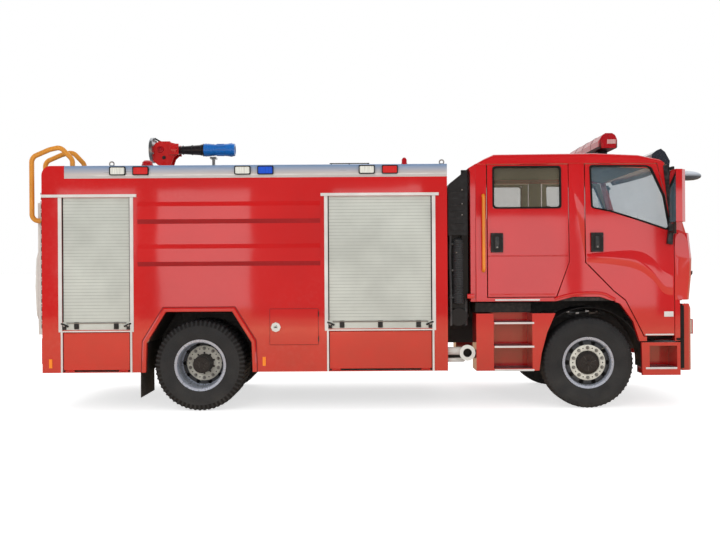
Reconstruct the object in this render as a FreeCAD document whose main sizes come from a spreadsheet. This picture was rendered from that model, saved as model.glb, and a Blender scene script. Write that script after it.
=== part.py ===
import FreeCAD, Part

import math
import os
import re

import Sketcher

# A two-axle fire engine with a tilting crew cab, at full size in millimetres.
# X points forward, Y to the truck's left and Z up. The ground is Z = 0, and the
# origin lies on it, under the middle of the truck's overall box.

SIZES = [
    ("wheelbase", 4556, "between the axles"),
    ("front_axle_x", 2604, "front axle, ahead of the origin"),
    ("half_width", 1245, "outer skin of cab and body from the centre line"),
    ("seat_gap", 0.3, "gap between a moving piece and the seat that it rests on"),
    ("pin_play", 0.05, "radial play of a pin in its bore"),
    ("seam", 8, "gap round a door or panel"),
    ("swing_seam", 11, "gap at the swinging edge of a door"),
    ("tyre_radius", 533, "outer radius of a tyre"),
    ("tyre_half_width", 150, "half the section width of a tyre"),
    ("tyre_sides", 48, "flats round a tyre"),
    ("bead_radius", 288, "inner radius of a tyre"),
    ("rim_half_width", 122, "half the width of a rim over its flanges"),
    ("rim_wall", 14, "thickness of a rim and its disc"),
    ("flange_height", 15, "rim flange above the bead seat"),
    ("nut_ring_radius", 210, "outer radius of the nut ring"),
    ("hub_radius", 140, "outer radius of a hub cap"),
    ("drum_radius", 204, "outer radius of a brake drum"),
    ("drum_wall", 18, "wall of a brake drum"),
    ("hand_hole_radius", 21, "hand holes in a wheel disc"),
    ("hand_hole_circle", 234, "circle of the hand holes"),
    ("kingpin_radius", 22, "kingpin"),
    ("boss_radius", 48, "boss at the end of the front axle"),
    ("boss_half_height", 60, "half the height of that boss"),
    ("fork_thick", 30, "each arm of a knuckle's fork"),
    ("fork_reach", 62, "fork arms outward of the kingpin"),
    ("web_thick", 26, "web that joins a knuckle's fork arms"),
    ("spindle_radius", 38, "front wheel spindle"),
    ("steer_arm_back", 180, "tie rod pin behind the kingpin"),
    ("steer_arm_half", 24, "half the width of a steering arm"),
    ("tie_pin_radius", 12, "tie rod pin"),
    ("tie_rod_radius", 20, "tie rod"),
    ("beam_width", 90, "front axle beam along the truck"),
    ("beam_drop", 150, "front axle beam's foot below the wheel centre"),
    ("beam_height", 95, "front axle beam"),
    ("beam_neck", 230, "swan neck of the beam, inboard of the kingpin"),
    ("axle_tube_radius", 72, "rear axle tube and spindle"),
    ("banjo_radius", 190, "rear axle's round centre casing"),
    ("spring_half_width", 40, "half the width of a leaf spring"),
    ("spring_half_length", 720, "half the length of a leaf spring"),
    ("leaf_thick", 18, "one leaf"),
    ("rail_flange", 80, "flange of a frame rail"),
    ("rail_height", 280, "depth of a frame rail"),
    ("rail_wall", 10, "wall of a frame rail"),
    ("frame_top", 1000, "top of the frame rails"),
    ("pivot_z", 1160, "cab's tilting pin"),
    ("pivot_radius", 25, "cab's tilting pin"),
    ("body_bottom", 460, "lower edge of the pump body"),
    ("body_skin_top", 2725, "top of the red side, under the silver edge"),
    ("body_top", 2875, "top of the silver roof edge"),
    ("body_wall", 40, "side and end walls of the pump body"),
    ("deck_thick", 35, "roof deck"),
    ("floor_thick", 20, "locker and body floor"),
    ("corner_round", 110, "rounding of that block"),
    ("arch_bottom_half", 622, "rear arch, half its width at the bottom"),
    ("arch_side_half", 610, "rear arch, half its width at the shoulders' foot"),
    ("arch_top_half", 386, "rear arch, half its width at the top"),
    ("arch_shoulder_z", 805, "foot of the arch's shoulders"),
    ("arch_top_z", 1166, "top of the rear arch"),
    ("lip_width", 28, "raised lip round the arch"),
    ("lip_proud", 8, "lip and other raised edges stand out by this"),
    ("liner_wall", 8, "wheel housings"),
    ("rib_upper_z", 2192, "foot of the upper rib"),
    ("rib_lower_z", 1697, "foot of the lower rib"),
    ("rib_height", 256, "height of a raised rib"),
    ("rib_bevel", 52, "sloping edge of a rib"),
    ("rib_proud", 16, "ribs stand out by this"),
    ("shutter_bottom", 958, "foot of the side shutters"),
    ("shutter_top", 2503, "head of the side shutters"),
    ("shutter_recess", 16, "shutters lie back from the skin by this"),
    ("slat_thick", 10, "shutter slat"),
    ("slat_pitch", 38, "height of one slat"),
    ("slat_groove", 3, "groove between slats"),
    ("bottom_bar_height", 96, "shutter's bottom bar"),
    ("frame_strip", 41, "white rail beside a shutter"),
    ("strip_proud", 9, "white rails stand out by this"),
    ("sill_strip_height", 15, "white strip under a shutter"),
    ("board_top", 925, "top of the footboards"),
    ("board_bottom", 492, "foot of the footboards"),
    ("board_thick", 22, "footboards"),
    ("board_hinge_radius", 9, "footboard hinge knuckle"),
    ("board_pin_radius", 4, "footboard hinge pin"),
    ("service_door_bottom", 777, "foot of the small service door"),
    ("service_door_top", 1190, "head of the small service door"),
    ("drip_bottom", 2505, "rain strip above a shutter"),
    ("drip_height", 33, "rain strip above a shutter"),
    ("drip_proud", 22, "rain strip stands out by this"),
    ("tail_shutter_bottom", 1010, "foot of the rear shutter"),
    ("tail_shutter_top", 2300, "head of the rear shutter"),
    ("ladder_depth", 45, "ladder stile along the truck"),
    ("ladder_stile", 30, "ladder stile across the truck"),
    ("ladder_bottom", 899, "foot of the ladder"),
    ("ladder_top", 2455, "head of the ladder"),
    ("rung_radius", 15, "ladder rung"),
    ("hoop_radius", 29, "handrail tube"),
    ("hoop_foot_z", 2242, "lower end of the handrail hoops"),
    ("hoop_top_z", 3108, "top of the handrail hoops"),
    ("monitor_pipe_radius", 70, "monitor's riser"),
    ("monitor_flange_radius", 130, "monitor's foot flange"),
    ("riser_height", 200, "monitor's swivel plane above the roof deck"),
    ("pitch_rise", 264, "monitor's pitch pin above the swivel plane"),
    ("hatch_radius", 260, "manhole lid"),
    ("cab_wall", 60, "doors and cab walls"),
    ("cab_floor_z", 1262, "underside of the cab"),
    ("cab_crease_z", 1784, "crease, where the sides begin to lean in"),
    ("cab_lean", 30, "lean of the sides between crease and roof"),
    ("cab_eave_z", 2870, "foot of the roof panel"),
    ("cab_roof_z", 2992, "top of the roof"),
    ("front_wall", 30, "cab front panel"),
    ("front_bottom", 1270, "lower edge of the cab's front panel"),
    ("screen_bottom", 2052, "foot of the windscreen"),
    ("screen_rake", 245, "windscreen's top lies back by this"),
    ("glass_thick", 6, "panes"),
    ("crew_door_bottom", 1315, "crew door's foot"),
    ("door_top", 2862, "top of the doors"),
    ("cab_door_bottom", 853, "front door's foot"),
    ("bumper_bottom", 441, "lower edge of the bumper"),
    ("bumper_top", 1223, "top of the bumper"),
    ("bumper_wall", 60, "bumper shell"),
    ("crew_step_top", 1122, "top of the crew step box"),
    ("crew_step_bottom", 455, "foot of the crew step box"),
    ("cab_step_top", 776, "top of the front step box"),
    ("cab_step_bottom", 394, "foot of the front step box"),
    ("step_depth", 300, "step boxes across the truck"),
    ("step_skin", 40, "outer skin of the step boxes"),
    ("guard_radius", 650, "inner radius of the front mudguards"),
    ("guard_wall", 5, "front mudguards"),
    ("flap_bottom", 167, "lower edge of the rear flaps"),
    ("visor_bow", 95, "middle of the sun visor ahead of its ends"),
    ("grab_radius", 19, "cab grab bar"),
    ("window_bottom", 2352, "foot of the crew door's window"),
    ("light_half", 800, "half the length of the roof light bar"),
    ("light_bottom", 115, "underside of the light bar above the roof's top"),
    ("light_height", 182, "height of the light bar"),
    ("light_reach", 116, "half the light bar along the truck"),
    ("bumper_ahead", 46, "bumper's face ahead of the cab's front"),
    ("bumper_dip", 90, "bumper's top slopes down from here, clear of the tilting cab"),
    ("front_bulge", 34, "cab's front swells by this below the screen"),
    ("seat_half", 235, "half the width of a front seat"),
    ("wheel_ring", 225, "steering wheel"),
]

# Places that follow from the sizes above, as formulas in the same sheet.
DERIVED = [
    ("rear_axle_x", "front_axle_x - wheelbase", "rear axle"),
    ("body_rear_x", "rear_axle_x - 1828", "rear face of the pump body"),
    ("body_front_x", "front_axle_x - 1656", "front face of the pump body"),
    ("frame_rear_x", "body_rear_x + 80", "rear end of the frame"),
    ("corner_block_x", "body_rear_x + 266", "front end of the red block at the rear roof corner"),
    ("arch_centre_x", "rear_axle_x + 2", "middle of the rear arch"),
    ("rear_shutter_from", "rear_axle_x - 1594", "rear side shutter, rear edge"),
    ("rear_shutter_to", "rear_axle_x - 801", "rear side shutter, front edge"),
    ("front_shutter_from", "rear_axle_x + wheelbase * 0.33077", "front side shutter, rear edge"),
    ("front_shutter_to", "front_axle_x - 1836", "front side shutter, front edge"),
    ("rib_rear_x", "rear_axle_x - 709", "rear end of the raised ribs"),
    ("rib_front_x", "front_shutter_from - 90", "front end of the raised ribs"),
    ("ladder_rear_x", "body_rear_x - 95", "ladder's rear face"),
    ("monitor_x", "rear_axle_x - 648", "monitor's swivel axis"),
    ("pitch_x", "monitor_x + 122", "monitor's pitch pin"),
    ("barrel_rest_x", "monitor_x + 620", "post under the barrel"),
    ("barrel_end_x", "monitor_x + 901", "tip of the monitor's nozzle"),
    ("hatch_x", "rear_axle_x + 902", "middle of the manhole"),
    ("flap_x", "rear_axle_x - 688", "rear flaps"),
    ("cab_rear_x", "front_axle_x - 1382", "rear face of the cab"),
    ("cab_front_x", "front_axle_x + 1276", "front of the cab at the centre line"),
    ("pivot_x", "cab_front_x - 180", "cab's tilting pin"),
    ("frame_front_x", "pivot_x - 60", "front end of the frame"),
    ("crew_door_rear_x", "cab_rear_x + 197", "crew door's rear edge"),
    ("crew_door_front_x", "cab_rear_x + 1142", "crew door's front edge"),
    ("cab_door_rear_x", "front_axle_x - 40", "front door's rear edge"),
    ("cab_door_front_x", "cab_front_x - 291", "front door's front edge"),
    ("crew_step_rear_x", "cab_rear_x + 58", "rear face of the crew step box"),
    ("cab_step_front_x", "cab_front_x - 221", "front face of the front step box"),
    ("grab_x", "cab_rear_x + 145", "cab grab bar"),
    ("front_tyre_y", "half_width - 215", "middle of a front tyre"),
    ("rear_outer_y", "half_width - 185", "middle of an outer rear tyre"),
    ("rear_inner_y", "rear_outer_y - tyre_half_width * 2 - 40", "middle of an inner rear tyre"),
    ("kingpin_y", "front_tyre_y - tyre_half_width", "kingpin from the centre line"),
    ("rail_outer_y", "half_width - 815", "outer face of a frame rail"),
    ("spring_y", "rail_outer_y", "leaf springs from the centre line"),
    ("locker_inner_y", "half_width - 705", "inner wall of the lockers"),
    ("visor_half", "half_width - 130", "half the width of the sun visor"),
    ("bumper_half", "half_width - 70", "half the width of the bumper"),
    ("tail_shutter_half", "half_width - 645", "half the width of the rear shutter"),
    ("ladder_outer_y", "-half_width + 155", "ladder's outer stile"),
    ("ladder_inner_y", "-half_width + 493", "ladder's inner stile"),
    ("hoop_outer_y", "-half_width + 105", "outer handrail hoop"),
    ("hoop_inner_y", "-half_width + 545", "inner handrail hoop"),
    ("service_door_rear_x", "rear_axle_x + wheelbase * 0.18174", "service door, rear edge"),
    ("service_door_front_x", "rear_axle_x + wheelbase * 0.30465", "service door, front edge"),
    ("light_x", "cab_front_x - 915", "middle of the light bar"),
    ("light_z", "cab_roof_z + light_bottom", "underside of the light bar"),
    ("seat_y", "half_width - 465", "middle of a front seat"),
    ("seat_x", "cab_front_x - 1180", "front seat's back, at the cushion"),
    ("seat_z", "cab_floor_z + 378", "underside of the seat cushions"),
    ("swivel_z", "body_skin_top + deck_thick + riser_height", "monitor's swivel plane"),
    ("pitch_z", "swivel_z + pitch_rise", "monitor's pitch pin"),
]

ALIASES = {alias for alias, value, note in SIZES + DERIVED}
WORD = re.compile(r"[a-z][a-z_]*")

doc = FreeCAD.newDocument("fire_engine")
sheet = doc.addObject("Spreadsheet::Sheet", "Sizes")
for row, (alias, value, note) in enumerate(SIZES + DERIVED, start=1):
    sheet.set("A%d" % row, note)
    sheet.set("B%d" % row, "=" + value if isinstance(value, str) else str(value))
    sheet.setAlias("B%d" % row, alias)
doc.recompute()

RIGHT = -1
LEFT = 1
NORMALS = {"XY": "z", "XZ": "y", "YZ": "x"}


def size(alias):
    """The value of one cell, for shapes that the script works out itself."""
    return float(sheet.get(alias))


def bind(thing, prop, rule):
    """Ties a property to a rule written with the sheet's names."""

    def from_sheet(match):
        word = match.group(0)
        return "Sizes." + word if word in ALIASES else word

    thing.setExpression(prop, WORD.sub(from_sheet, rule))


def block(name, x, y, z):
    """A box between two limits along each axis."""
    thing = doc.addObject("Part::Box", name)
    for prop, axis, (low, high) in (("Length", "x", x), ("Width", "y", y), ("Height", "z", z)):
        bind(thing, prop, "(%s) - (%s)" % (high, low))
        bind(thing, "Placement.Base." + axis, low)
    return thing


def rod(name, axis, radius, low, high, centre):
    """A round bar along one axis, with its centre given on the other two."""
    thing = doc.addObject("Part::Cylinder", name)
    turns = {
        "x": FreeCAD.Rotation(FreeCAD.Vector(0, 1, 0), 90),
        "y": FreeCAD.Rotation(FreeCAD.Vector(1, 0, 0), -90),
        "z": FreeCAD.Rotation(),
    }
    thing.Placement.Rotation = turns[axis]
    bind(thing, "Radius", radius)
    bind(thing, "Height", "(%s) - (%s)" % (high, low))
    others = [letter for letter in "xyz" if letter != axis]
    bind(thing, "Placement.Base." + axis, low)
    for letter, rule in zip(others, centre):
        bind(thing, "Placement.Base." + letter, rule)
    return thing


def fuse(name, pieces):
    thing = doc.addObject("Part::MultiFuse", name)
    thing.Shapes = pieces
    return thing


def cut(name, base, tools):
    thing = doc.addObject("Part::Cut", name)
    thing.Base = base
    thing.Tool = tools[0] if len(tools) == 1 else fuse(name + "_tools", tools)
    return thing


def common(name, first, second):
    thing = doc.addObject("Part::Common", name)
    thing.Base = first
    thing.Tool = second
    return thing


def group(name, pieces):
    """Solids that share a node and don't touch."""
    thing = doc.addObject("Part::Compound", name)
    thing.Links = pieces
    return thing


def mirrored(name, source):
    """The same piece on the other side of the truck."""
    thing = doc.addObject("Part::Mirroring", name)
    thing.Source = source
    thing.Normal = FreeCAD.Vector(0, 1, 0)
    return thing


def both(name, right):
    """The right-hand piece and its mirror image."""
    return group(name, [right, mirrored(name + "_mirror", right)])


class Body:
    """A body made of pads, pockets and turned shapes on its own origin planes."""

    def __init__(self, name, at=None):
        self.body = doc.addObject("PartDesign::Body", name)
        self.name = name
        self.count = 0
        for axis, rule in (at or {}).items():
            bind(self.body, "Placement.Base." + axis, rule)

    def sketch(self, plane, outline, level):
        """A closed outline of straight lines, each corner tied to the sheet."""
        self.count += 1
        thing = self.body.newObject("Sketcher::SketchObject", "%s_outline_%d" % (self.name, self.count))
        origin = [f for f in self.body.Origin.OriginFeatures if f.Role == plane + "_Plane"][0]
        thing.AttachmentSupport = [(origin, "")]
        thing.MapMode = "FlatFace"
        bind(thing, "AttachmentOffset.Base.z", level)
        corners = len(outline)
        start = [
            FreeCAD.Vector(100 * math.cos(math.tau * i / corners), 100 * math.sin(math.tau * i / corners), 0)
            for i in range(corners)
        ]
        for i in range(corners):
            thing.addGeometry(Part.LineSegment(start[i], start[(i + 1) % corners]), False)
        for i in range(corners):
            thing.addConstraint(Sketcher.Constraint("Coincident", i, 2, (i + 1) % corners, 1))
        for i, (across, up) in enumerate(outline):
            for kind, rule, first in (("DistanceX", across, start[i].x), ("DistanceY", up, start[i].y)):
                index = thing.addConstraint(Sketcher.Constraint(kind, -1, 1, i, 1, first))
                bind(thing, "Constraints[%d]" % index, rule)
        return thing

    def add(self, kind, profile):
        thing = self.body.newObject("PartDesign::" + kind, "%s_%s_%d" % (self.name, kind, self.count))
        thing.Profile = profile
        return thing

    def pad(self, plane, outline, low, high):
        """Material between two limits along the plane's normal."""
        level = "-(%s)" % high if plane == "XZ" else low
        thing = self.add("Pad", self.sketch(plane, outline, level))
        bind(thing, "Length", "(%s) - (%s)" % (high, low))
        return thing

    def pocket(self, plane, outline, low, high):
        """Material taken away between two limits along the plane's normal."""
        level = "-(%s)" % low if plane == "XZ" else high
        doc.recompute()
        before = self.body.Shape.Volume
        thing = self.add("Pocket", self.sketch(plane, outline, level))
        bind(thing, "Length", "(%s) - (%s)" % (high, low))
        doc.recompute()
        if self.body.Shape.Volume > before - 1:
            raise RuntimeError(self.name + ": a pocket cuts nothing")
        return thing

    def turn(self, outline, plane="YZ", axis="H_Axis"):
        """Material turned about an axis of the sketch."""
        profile = self.sketch(plane, outline, "0")
        thing = self.add("Revolution", profile)
        thing.ReferenceAxis = (profile, [axis])
        thing.Angle = 360
        return thing

    def soften(self, radius, chosen):
        """Rounds the edges that the test picks out."""
        doc.recompute()
        base = self.body.Tip
        names = ["Edge%d" % i for i, edge in enumerate(base.Shape.Edges, start=1) if chosen(edge)]
        if not names:
            raise RuntimeError(self.name + ": no edge to round")
        self.count += 1
        thing = self.body.newObject("PartDesign::Fillet", "%s_round_%d" % (self.name, self.count))
        thing.Base = (base, names)
        bind(thing, "Radius", radius)
        return thing


def along(edge, axis):
    """True where a straight edge runs along one axis."""
    first, last = edge.Vertexes[0].Point, edge.Vertexes[-1].Point
    run = last - first
    length = run.Length
    return length > 1 and abs(getattr(run, axis)) > 0.999 * length


def prism(name, plane, outline, low, high):
    piece = Body(name)
    piece.pad(plane, outline, low, high)
    return piece.body


def bent_tube(name, points, bends, radius):
    """A round tube along straight runs with round bends, as one solid."""
    points = [FreeCAD.Vector(*p) for p in points]
    edges = []
    start = points[0]
    for before, corner, after, bend in zip(points, points[1:], points[2:], bends):
        back = (before - corner).normalize()
        ahead = (after - corner).normalize()
        half = back.getAngle(ahead) / 2
        setback = bend / math.tan(half)
        first = corner + back * setback
        last = corner + ahead * setback
        bisector = (back + ahead).normalize()
        middle = corner + bisector * (bend / math.sin(half) - bend)
        edges.append(Part.LineSegment(start, first).toShape())
        edges.append(Part.Arc(first, middle, last).toShape())
        start = last
    edges.append(Part.LineSegment(start, points[-1]).toShape())
    path = Part.Wire(edges)
    ring = Part.Wire([Part.makeCircle(radius, points[0], points[1] - points[0])])
    thing = doc.addObject("Part::Feature", name)
    thing.Shape = path.makePipeShell([ring], True, True)
    return thing


NODES = []


def node(name, thing):
    """Names a finished sub-part, which becomes one file."""
    thing.Label = name
    NODES.append(thing)
    return thing




def make_frame(bumper):
    """Two channel rails with their cross members, the cab's pins and rests."""
    rail = prism(
        "rail",
        "YZ",
        [
            ("-rail_outer_y", "frame_top - rail_height"),
            ("-rail_outer_y + rail_flange", "frame_top - rail_height"),
            ("-rail_outer_y + rail_flange", "frame_top - rail_height + rail_wall"),
            ("-rail_outer_y + rail_wall", "frame_top - rail_height + rail_wall"),
            ("-rail_outer_y + rail_wall", "frame_top - rail_wall"),
            ("-rail_outer_y + rail_flange", "frame_top - rail_wall"),
            ("-rail_outer_y + rail_flange", "frame_top"),
            ("-rail_outer_y", "frame_top"),
        ],
        "frame_rear_x",
        "frame_front_x",
    )
    battery_x = ("cab_rear_x + 80", "front_axle_x - 640")
    battery_z = ("crew_step_top + 8", "cab_floor_z - 22")
    battery = block("battery_box", battery_x, ("-half_width + 245", "-rail_outer_y - 20"), battery_z)
    feet = [
        block("battery_foot_%d" % i, (x, x + " + 90"), ("-rail_outer_y - 90", "-rail_outer_y + 2"),
              ("frame_top - 120", "crew_step_top + 20"))
        for i, x in enumerate((battery_x[0] + " + 100", battery_x[1] + " - 190"))
    ]
    carrier = fuse("battery_carrier", [battery] + feet)
    pieces = [rail, mirrored("rail_mirror", rail), carrier, mirrored("battery_carrier_left", carrier)]
    stations = [
        "frame_rear_x + 40",
        "rear_axle_x - 760",
        "rear_axle_x + 760",
        "body_front_x - 900",
        "cab_rear_x + 60",
        "front_axle_x - 780",
        "frame_front_x - 60",
    ]
    inner = "rail_outer_y - rail_wall"
    for i, x in enumerate(stations):
        pieces.append(rod("cross_tube_%d" % i, "y", "rail_wall * 5", "-(%s)" % inner, inner,
                          (x, "frame_top - rail_height / 2")))
    for side, tag in ((RIGHT, "right"), (LEFT, "left")):
        inside = "rail_outer_y - rail_flange"
        low, high = ("-rail_outer_y", "-(%s)" % inside) if side == RIGHT else (inside, "rail_outer_y")
        pieces.append(
            prism("pivot_bracket_" + tag, "XZ",
                  [("frame_front_x - 120", "frame_top - rail_wall"),
                   ("pivot_x + 40", "frame_top - rail_wall"),
                   ("pivot_x + 40", "pivot_z + 20"),
                   ("pivot_x + 20", "pivot_z + 40"),
                   ("pivot_x - 30", "pivot_z + 40"),
                   ("frame_front_x - 120", "frame_top + 40")],
                  low, high))
        pieces.append(block("bumper_stay_" + tag, ("frame_front_x - 20", "cab_front_x + bumper_ahead - bumper_wall"),
                            (low, high), ("frame_top - rail_height + 30", "frame_top - 90")))
        pin = ("-rail_outer_y - 50", "-(%s)" % inside) if side == RIGHT else (inside, "rail_outer_y + 50")
        pieces.append(rod("pivot_pin_" + tag, "y", "pivot_radius", pin[0], pin[1], ("pivot_x", "pivot_z")))
        pieces.append(block("cab_rest_" + tag, ("cab_rear_x + 80", "cab_rear_x + 160"), (low, high),
                            ("frame_top - rail_wall", "cab_floor_z - seat_gap")))
    pieces.append(block("underrun", ("frame_rear_x - 30", "frame_rear_x + 50"),
                        ("-locker_inner_y + 20", "locker_inner_y - 20"), ("body_bottom", "body_bottom + 110")))
    for side, tag in ((RIGHT, "right"), (LEFT, "left")):
        low, high = ("-rail_outer_y", "-rail_outer_y + 12") if side == RIGHT else ("rail_outer_y - 12",
                                                                                 "rail_outer_y")
        pieces.append(block("underrun_arm_" + tag, ("frame_rear_x", "frame_rear_x + 160"), (low, high),
                            ("body_bottom + 60", "frame_top - rail_height + rail_wall")))
    whole = fuse("frame_whole", pieces)
    eye = rod("tow_eye_hole", "z", "25", "body_bottom - 5", "body_bottom + 120", ("frame_rear_x + 10", "0"))
    node("chassis_frame", cut("chassis_frame", whole, [eye, bumper]))


def leaf_spring(tag, axle_x, seat_z, steps):
    """A stack of leaves, each shorter than the one above, under one rail."""
    leaves = []
    for i in range(steps):
        reach = "spring_half_length * %g" % (1 - 0.17 * i)
        top = "%s + leaf_thick * %d" % (seat_z, steps - i)
        leaves.append(block("leaf_%s_%d" % (tag, i), (axle_x + " - " + reach, axle_x + " + " + reach),
                            ("-spring_y - spring_half_width", "-spring_y + spring_half_width"),
                            ("%s + leaf_thick * %d" % (seat_z, steps - i - 1), top)))
    head = "%s + leaf_thick * %d" % (seat_z, steps)
    for end, sign in (("rear", "-"), ("front", "+")):
        near = "%s %s (spring_half_length - 60)" % (axle_x, sign)
        x = (near + " - 30", near + " + 30")
        leaves.append(block("hanger_%s_%s" % (tag, end), x,
                            ("-spring_y - spring_half_width", "-rail_outer_y + rail_flange"),
                            (head, "frame_top - rail_height")))
    return leaves


def make_axles():
    """The front beam with its bosses, the rear casing and shaft, and the springs."""
    wheel_z = "tyre_radius"
    beam_top = "(tyre_radius - beam_drop + beam_height)"
    beam = block("beam", ("front_axle_x - beam_width / 2", "front_axle_x + beam_width / 2"),
                 ("-kingpin_y + beam_neck + beam_height", "kingpin_y - beam_neck - beam_height"),
                 ("tyre_radius - beam_drop", beam_top))
    pieces = [beam]
    for side, tag in ((RIGHT, "right"), (LEFT, "left")):
        y = "%d * kingpin_y" % side
        pieces.append(rod("boss_" + tag, "z", "boss_radius", wheel_z + " - boss_half_height",
                          wheel_z + " + boss_half_height", ("front_axle_x", y)))
    neck = prism("beam_neck_right", "YZ", [
        ("-kingpin_y", "tyre_radius - boss_half_height"),
        ("-kingpin_y + beam_neck", "tyre_radius - boss_half_height"),
        ("-kingpin_y + beam_neck + beam_height", "tyre_radius - beam_drop"),
        ("-kingpin_y + beam_neck + beam_height + 10", "tyre_radius - beam_drop"),
        ("-kingpin_y + beam_neck + beam_height + 10", beam_top),
        ("-kingpin_y + beam_neck", "tyre_radius + boss_half_height / 3"),
        ("-kingpin_y", "tyre_radius + boss_half_height / 3"),
    ], "front_axle_x - 40", "front_axle_x + 40")
    pieces += [neck, mirrored("beam_neck_left", neck)]
    springs = leaf_spring("front", "front_axle_x", beam_top, 4)
    right = fuse("front_spring_right", springs)
    pieces += [right, mirrored("front_spring_left", right)]
    bores = [
        rod("kingpin_bore_" + tag, "z", "kingpin_radius + pin_play", wheel_z + " - 200", wheel_z + " + 200",
            ("front_axle_x", "%d * kingpin_y" % side))
        for side, tag in ((RIGHT, "right"), (LEFT, "left"))
    ]
    node("front_axle", cut("front_axle", fuse("front_axle_whole", pieces), bores))

    tube = rod("axle_tube", "y", "axle_tube_radius", "-rear_outer_y - 40", "rear_outer_y + 40",
               ("rear_axle_x", wheel_z))
    casing = Body("casing", {"x": "rear_axle_x", "z": wheel_z})
    casing.turn([("-70", "0"), ("-70", "60"), ("-20", "120"), ("110", "banjo_radius"),
                 ("170", "banjo_radius - 30"), ("190", "110"), ("190", "0")], plane="XZ")
    shaft = rod("shaft", "x", "55", "rear_axle_x + 150", "front_axle_x - 640", ("0", wheel_z))
    springs = leaf_spring("rear", "rear_axle_x", "(tyre_radius + axle_tube_radius - 4)", 5)
    right = fuse("rear_spring_right", springs)
    pieces = [tube, casing.body, shaft, right, mirrored("rear_spring_left", right)]
    node("rear_axle", fuse("rear_axle", pieces))

    engine = block("engine_main", ("front_axle_x - 120", "frame_front_x - 240"), ("-rail_outer_y + 110",
                   "rail_outer_y - 110"), ("620", "cab_floor_z + 90"))
    gearbox = rod("gearbox", "x", "190", "front_axle_x - 640", "front_axle_x - 120", ("0", "780"))
    tail = rod("gearbox_tail", "x", "70", "front_axle_x - 640", "front_axle_x - 600", ("0", wheel_z + " + 50"))
    mounts = block("engine_mount", ("front_axle_x + 300", "front_axle_x + 380"),
                   ("-rail_outer_y + rail_wall", "rail_outer_y - rail_wall"), ("760", "820"))
    node("engine_block", fuse("engine_block", [engine, gearbox, tail, mounts]))


def tyre_section(middle):
    """Half section of a tyre, across the truck and out from the axle."""
    wide = size("tyre_half_width")
    outer = size("tyre_radius")
    rim_edge = size("rim_half_width")
    bead = size("bead_radius")
    half = [
        (rim_edge - 5, bead + 0.2),
        (rim_edge - 0.5, bead + size("flange_height") + 2),
        (wide - 4, outer - 190),
        (wide, outer - 130),
        (wide - 22, outer - 14),
        (wide - 50, outer),
    ]
    return [(middle + y, r) for y, r in half] + [(middle - y, r) for y, r in reversed(half)]


def tyre(name, axle_x, middle):
    """A tyre whose section is carried round in flats, which keeps its faces few."""
    sides = int(size("tyre_sides"))
    around = [math.tau * (i + 0.5) / sides for i in range(sides)]
    rings = []
    for y, r in tyre_section(middle):
        corner = r / math.cos(math.pi / sides)
        rings.append([
            FreeCAD.Vector(axle_x + corner * math.sin(a), y, size("tyre_radius") - corner * math.cos(a))
            for a in around
        ])
    faces = []
    for ring, following in zip(rings, rings[1:] + rings[:1]):
        for i in range(sides):
            j = (i + 1) % sides
            corners = [ring[i], ring[j], following[j], following[i], ring[i]]
            faces.append(Part.Face(Part.makePolygon(corners)))
    shape = Part.Solid(Part.Shell(faces))
    if shape.Volume < 0:
        shape.reverse()
    thing = doc.addObject("Part::Feature", name)
    thing.Shape = shape
    return thing


def rim_outline(middle):
    """Half section of a rim: a barrel with a leaning flange at each edge."""
    edge = "rim_half_width"
    return [
        ("%s - %s - 7" % (middle, edge), "bead_radius + flange_height"),
        ("%s - %s - 4" % (middle, edge), "bead_radius - rim_wall"),
        ("%s - %s + 40" % (middle, edge), "bead_radius - rim_wall * 2"),
        ("%s + %s - 40" % (middle, edge), "bead_radius - rim_wall * 2"),
        ("%s + %s + 4" % (middle, edge), "bead_radius - rim_wall"),
        ("%s + %s + 7" % (middle, edge), "bead_radius + flange_height"),
        ("%s + %s + 1" % (middle, edge), "bead_radius + flange_height"),
        ("%s + %s - 4" % (middle, edge), "bead_radius"),
        ("%s - %s + 4" % (middle, edge), "bead_radius"),
        ("%s - %s - 1" % (middle, edge), "bead_radius + flange_height"),
    ]


def punch_hand_holes(name, wheel, axle_x):
    """Ten round hand holes through the discs of a wheel."""
    holes = []
    for i in range(10):
        angle = 36 * i
        centre = (
            "%s + hand_hole_circle * cos(%d)" % (axle_x, angle),
            "tyre_radius + hand_hole_circle * sin(%d)" % angle,
        )
        holes.append(rod("%s_hole_%d" % (name, i), "y", "hand_hole_radius", "-half_width - 20", "-rail_outer_y - 60",
                         centre))
    return cut(name, wheel, holes)


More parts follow.
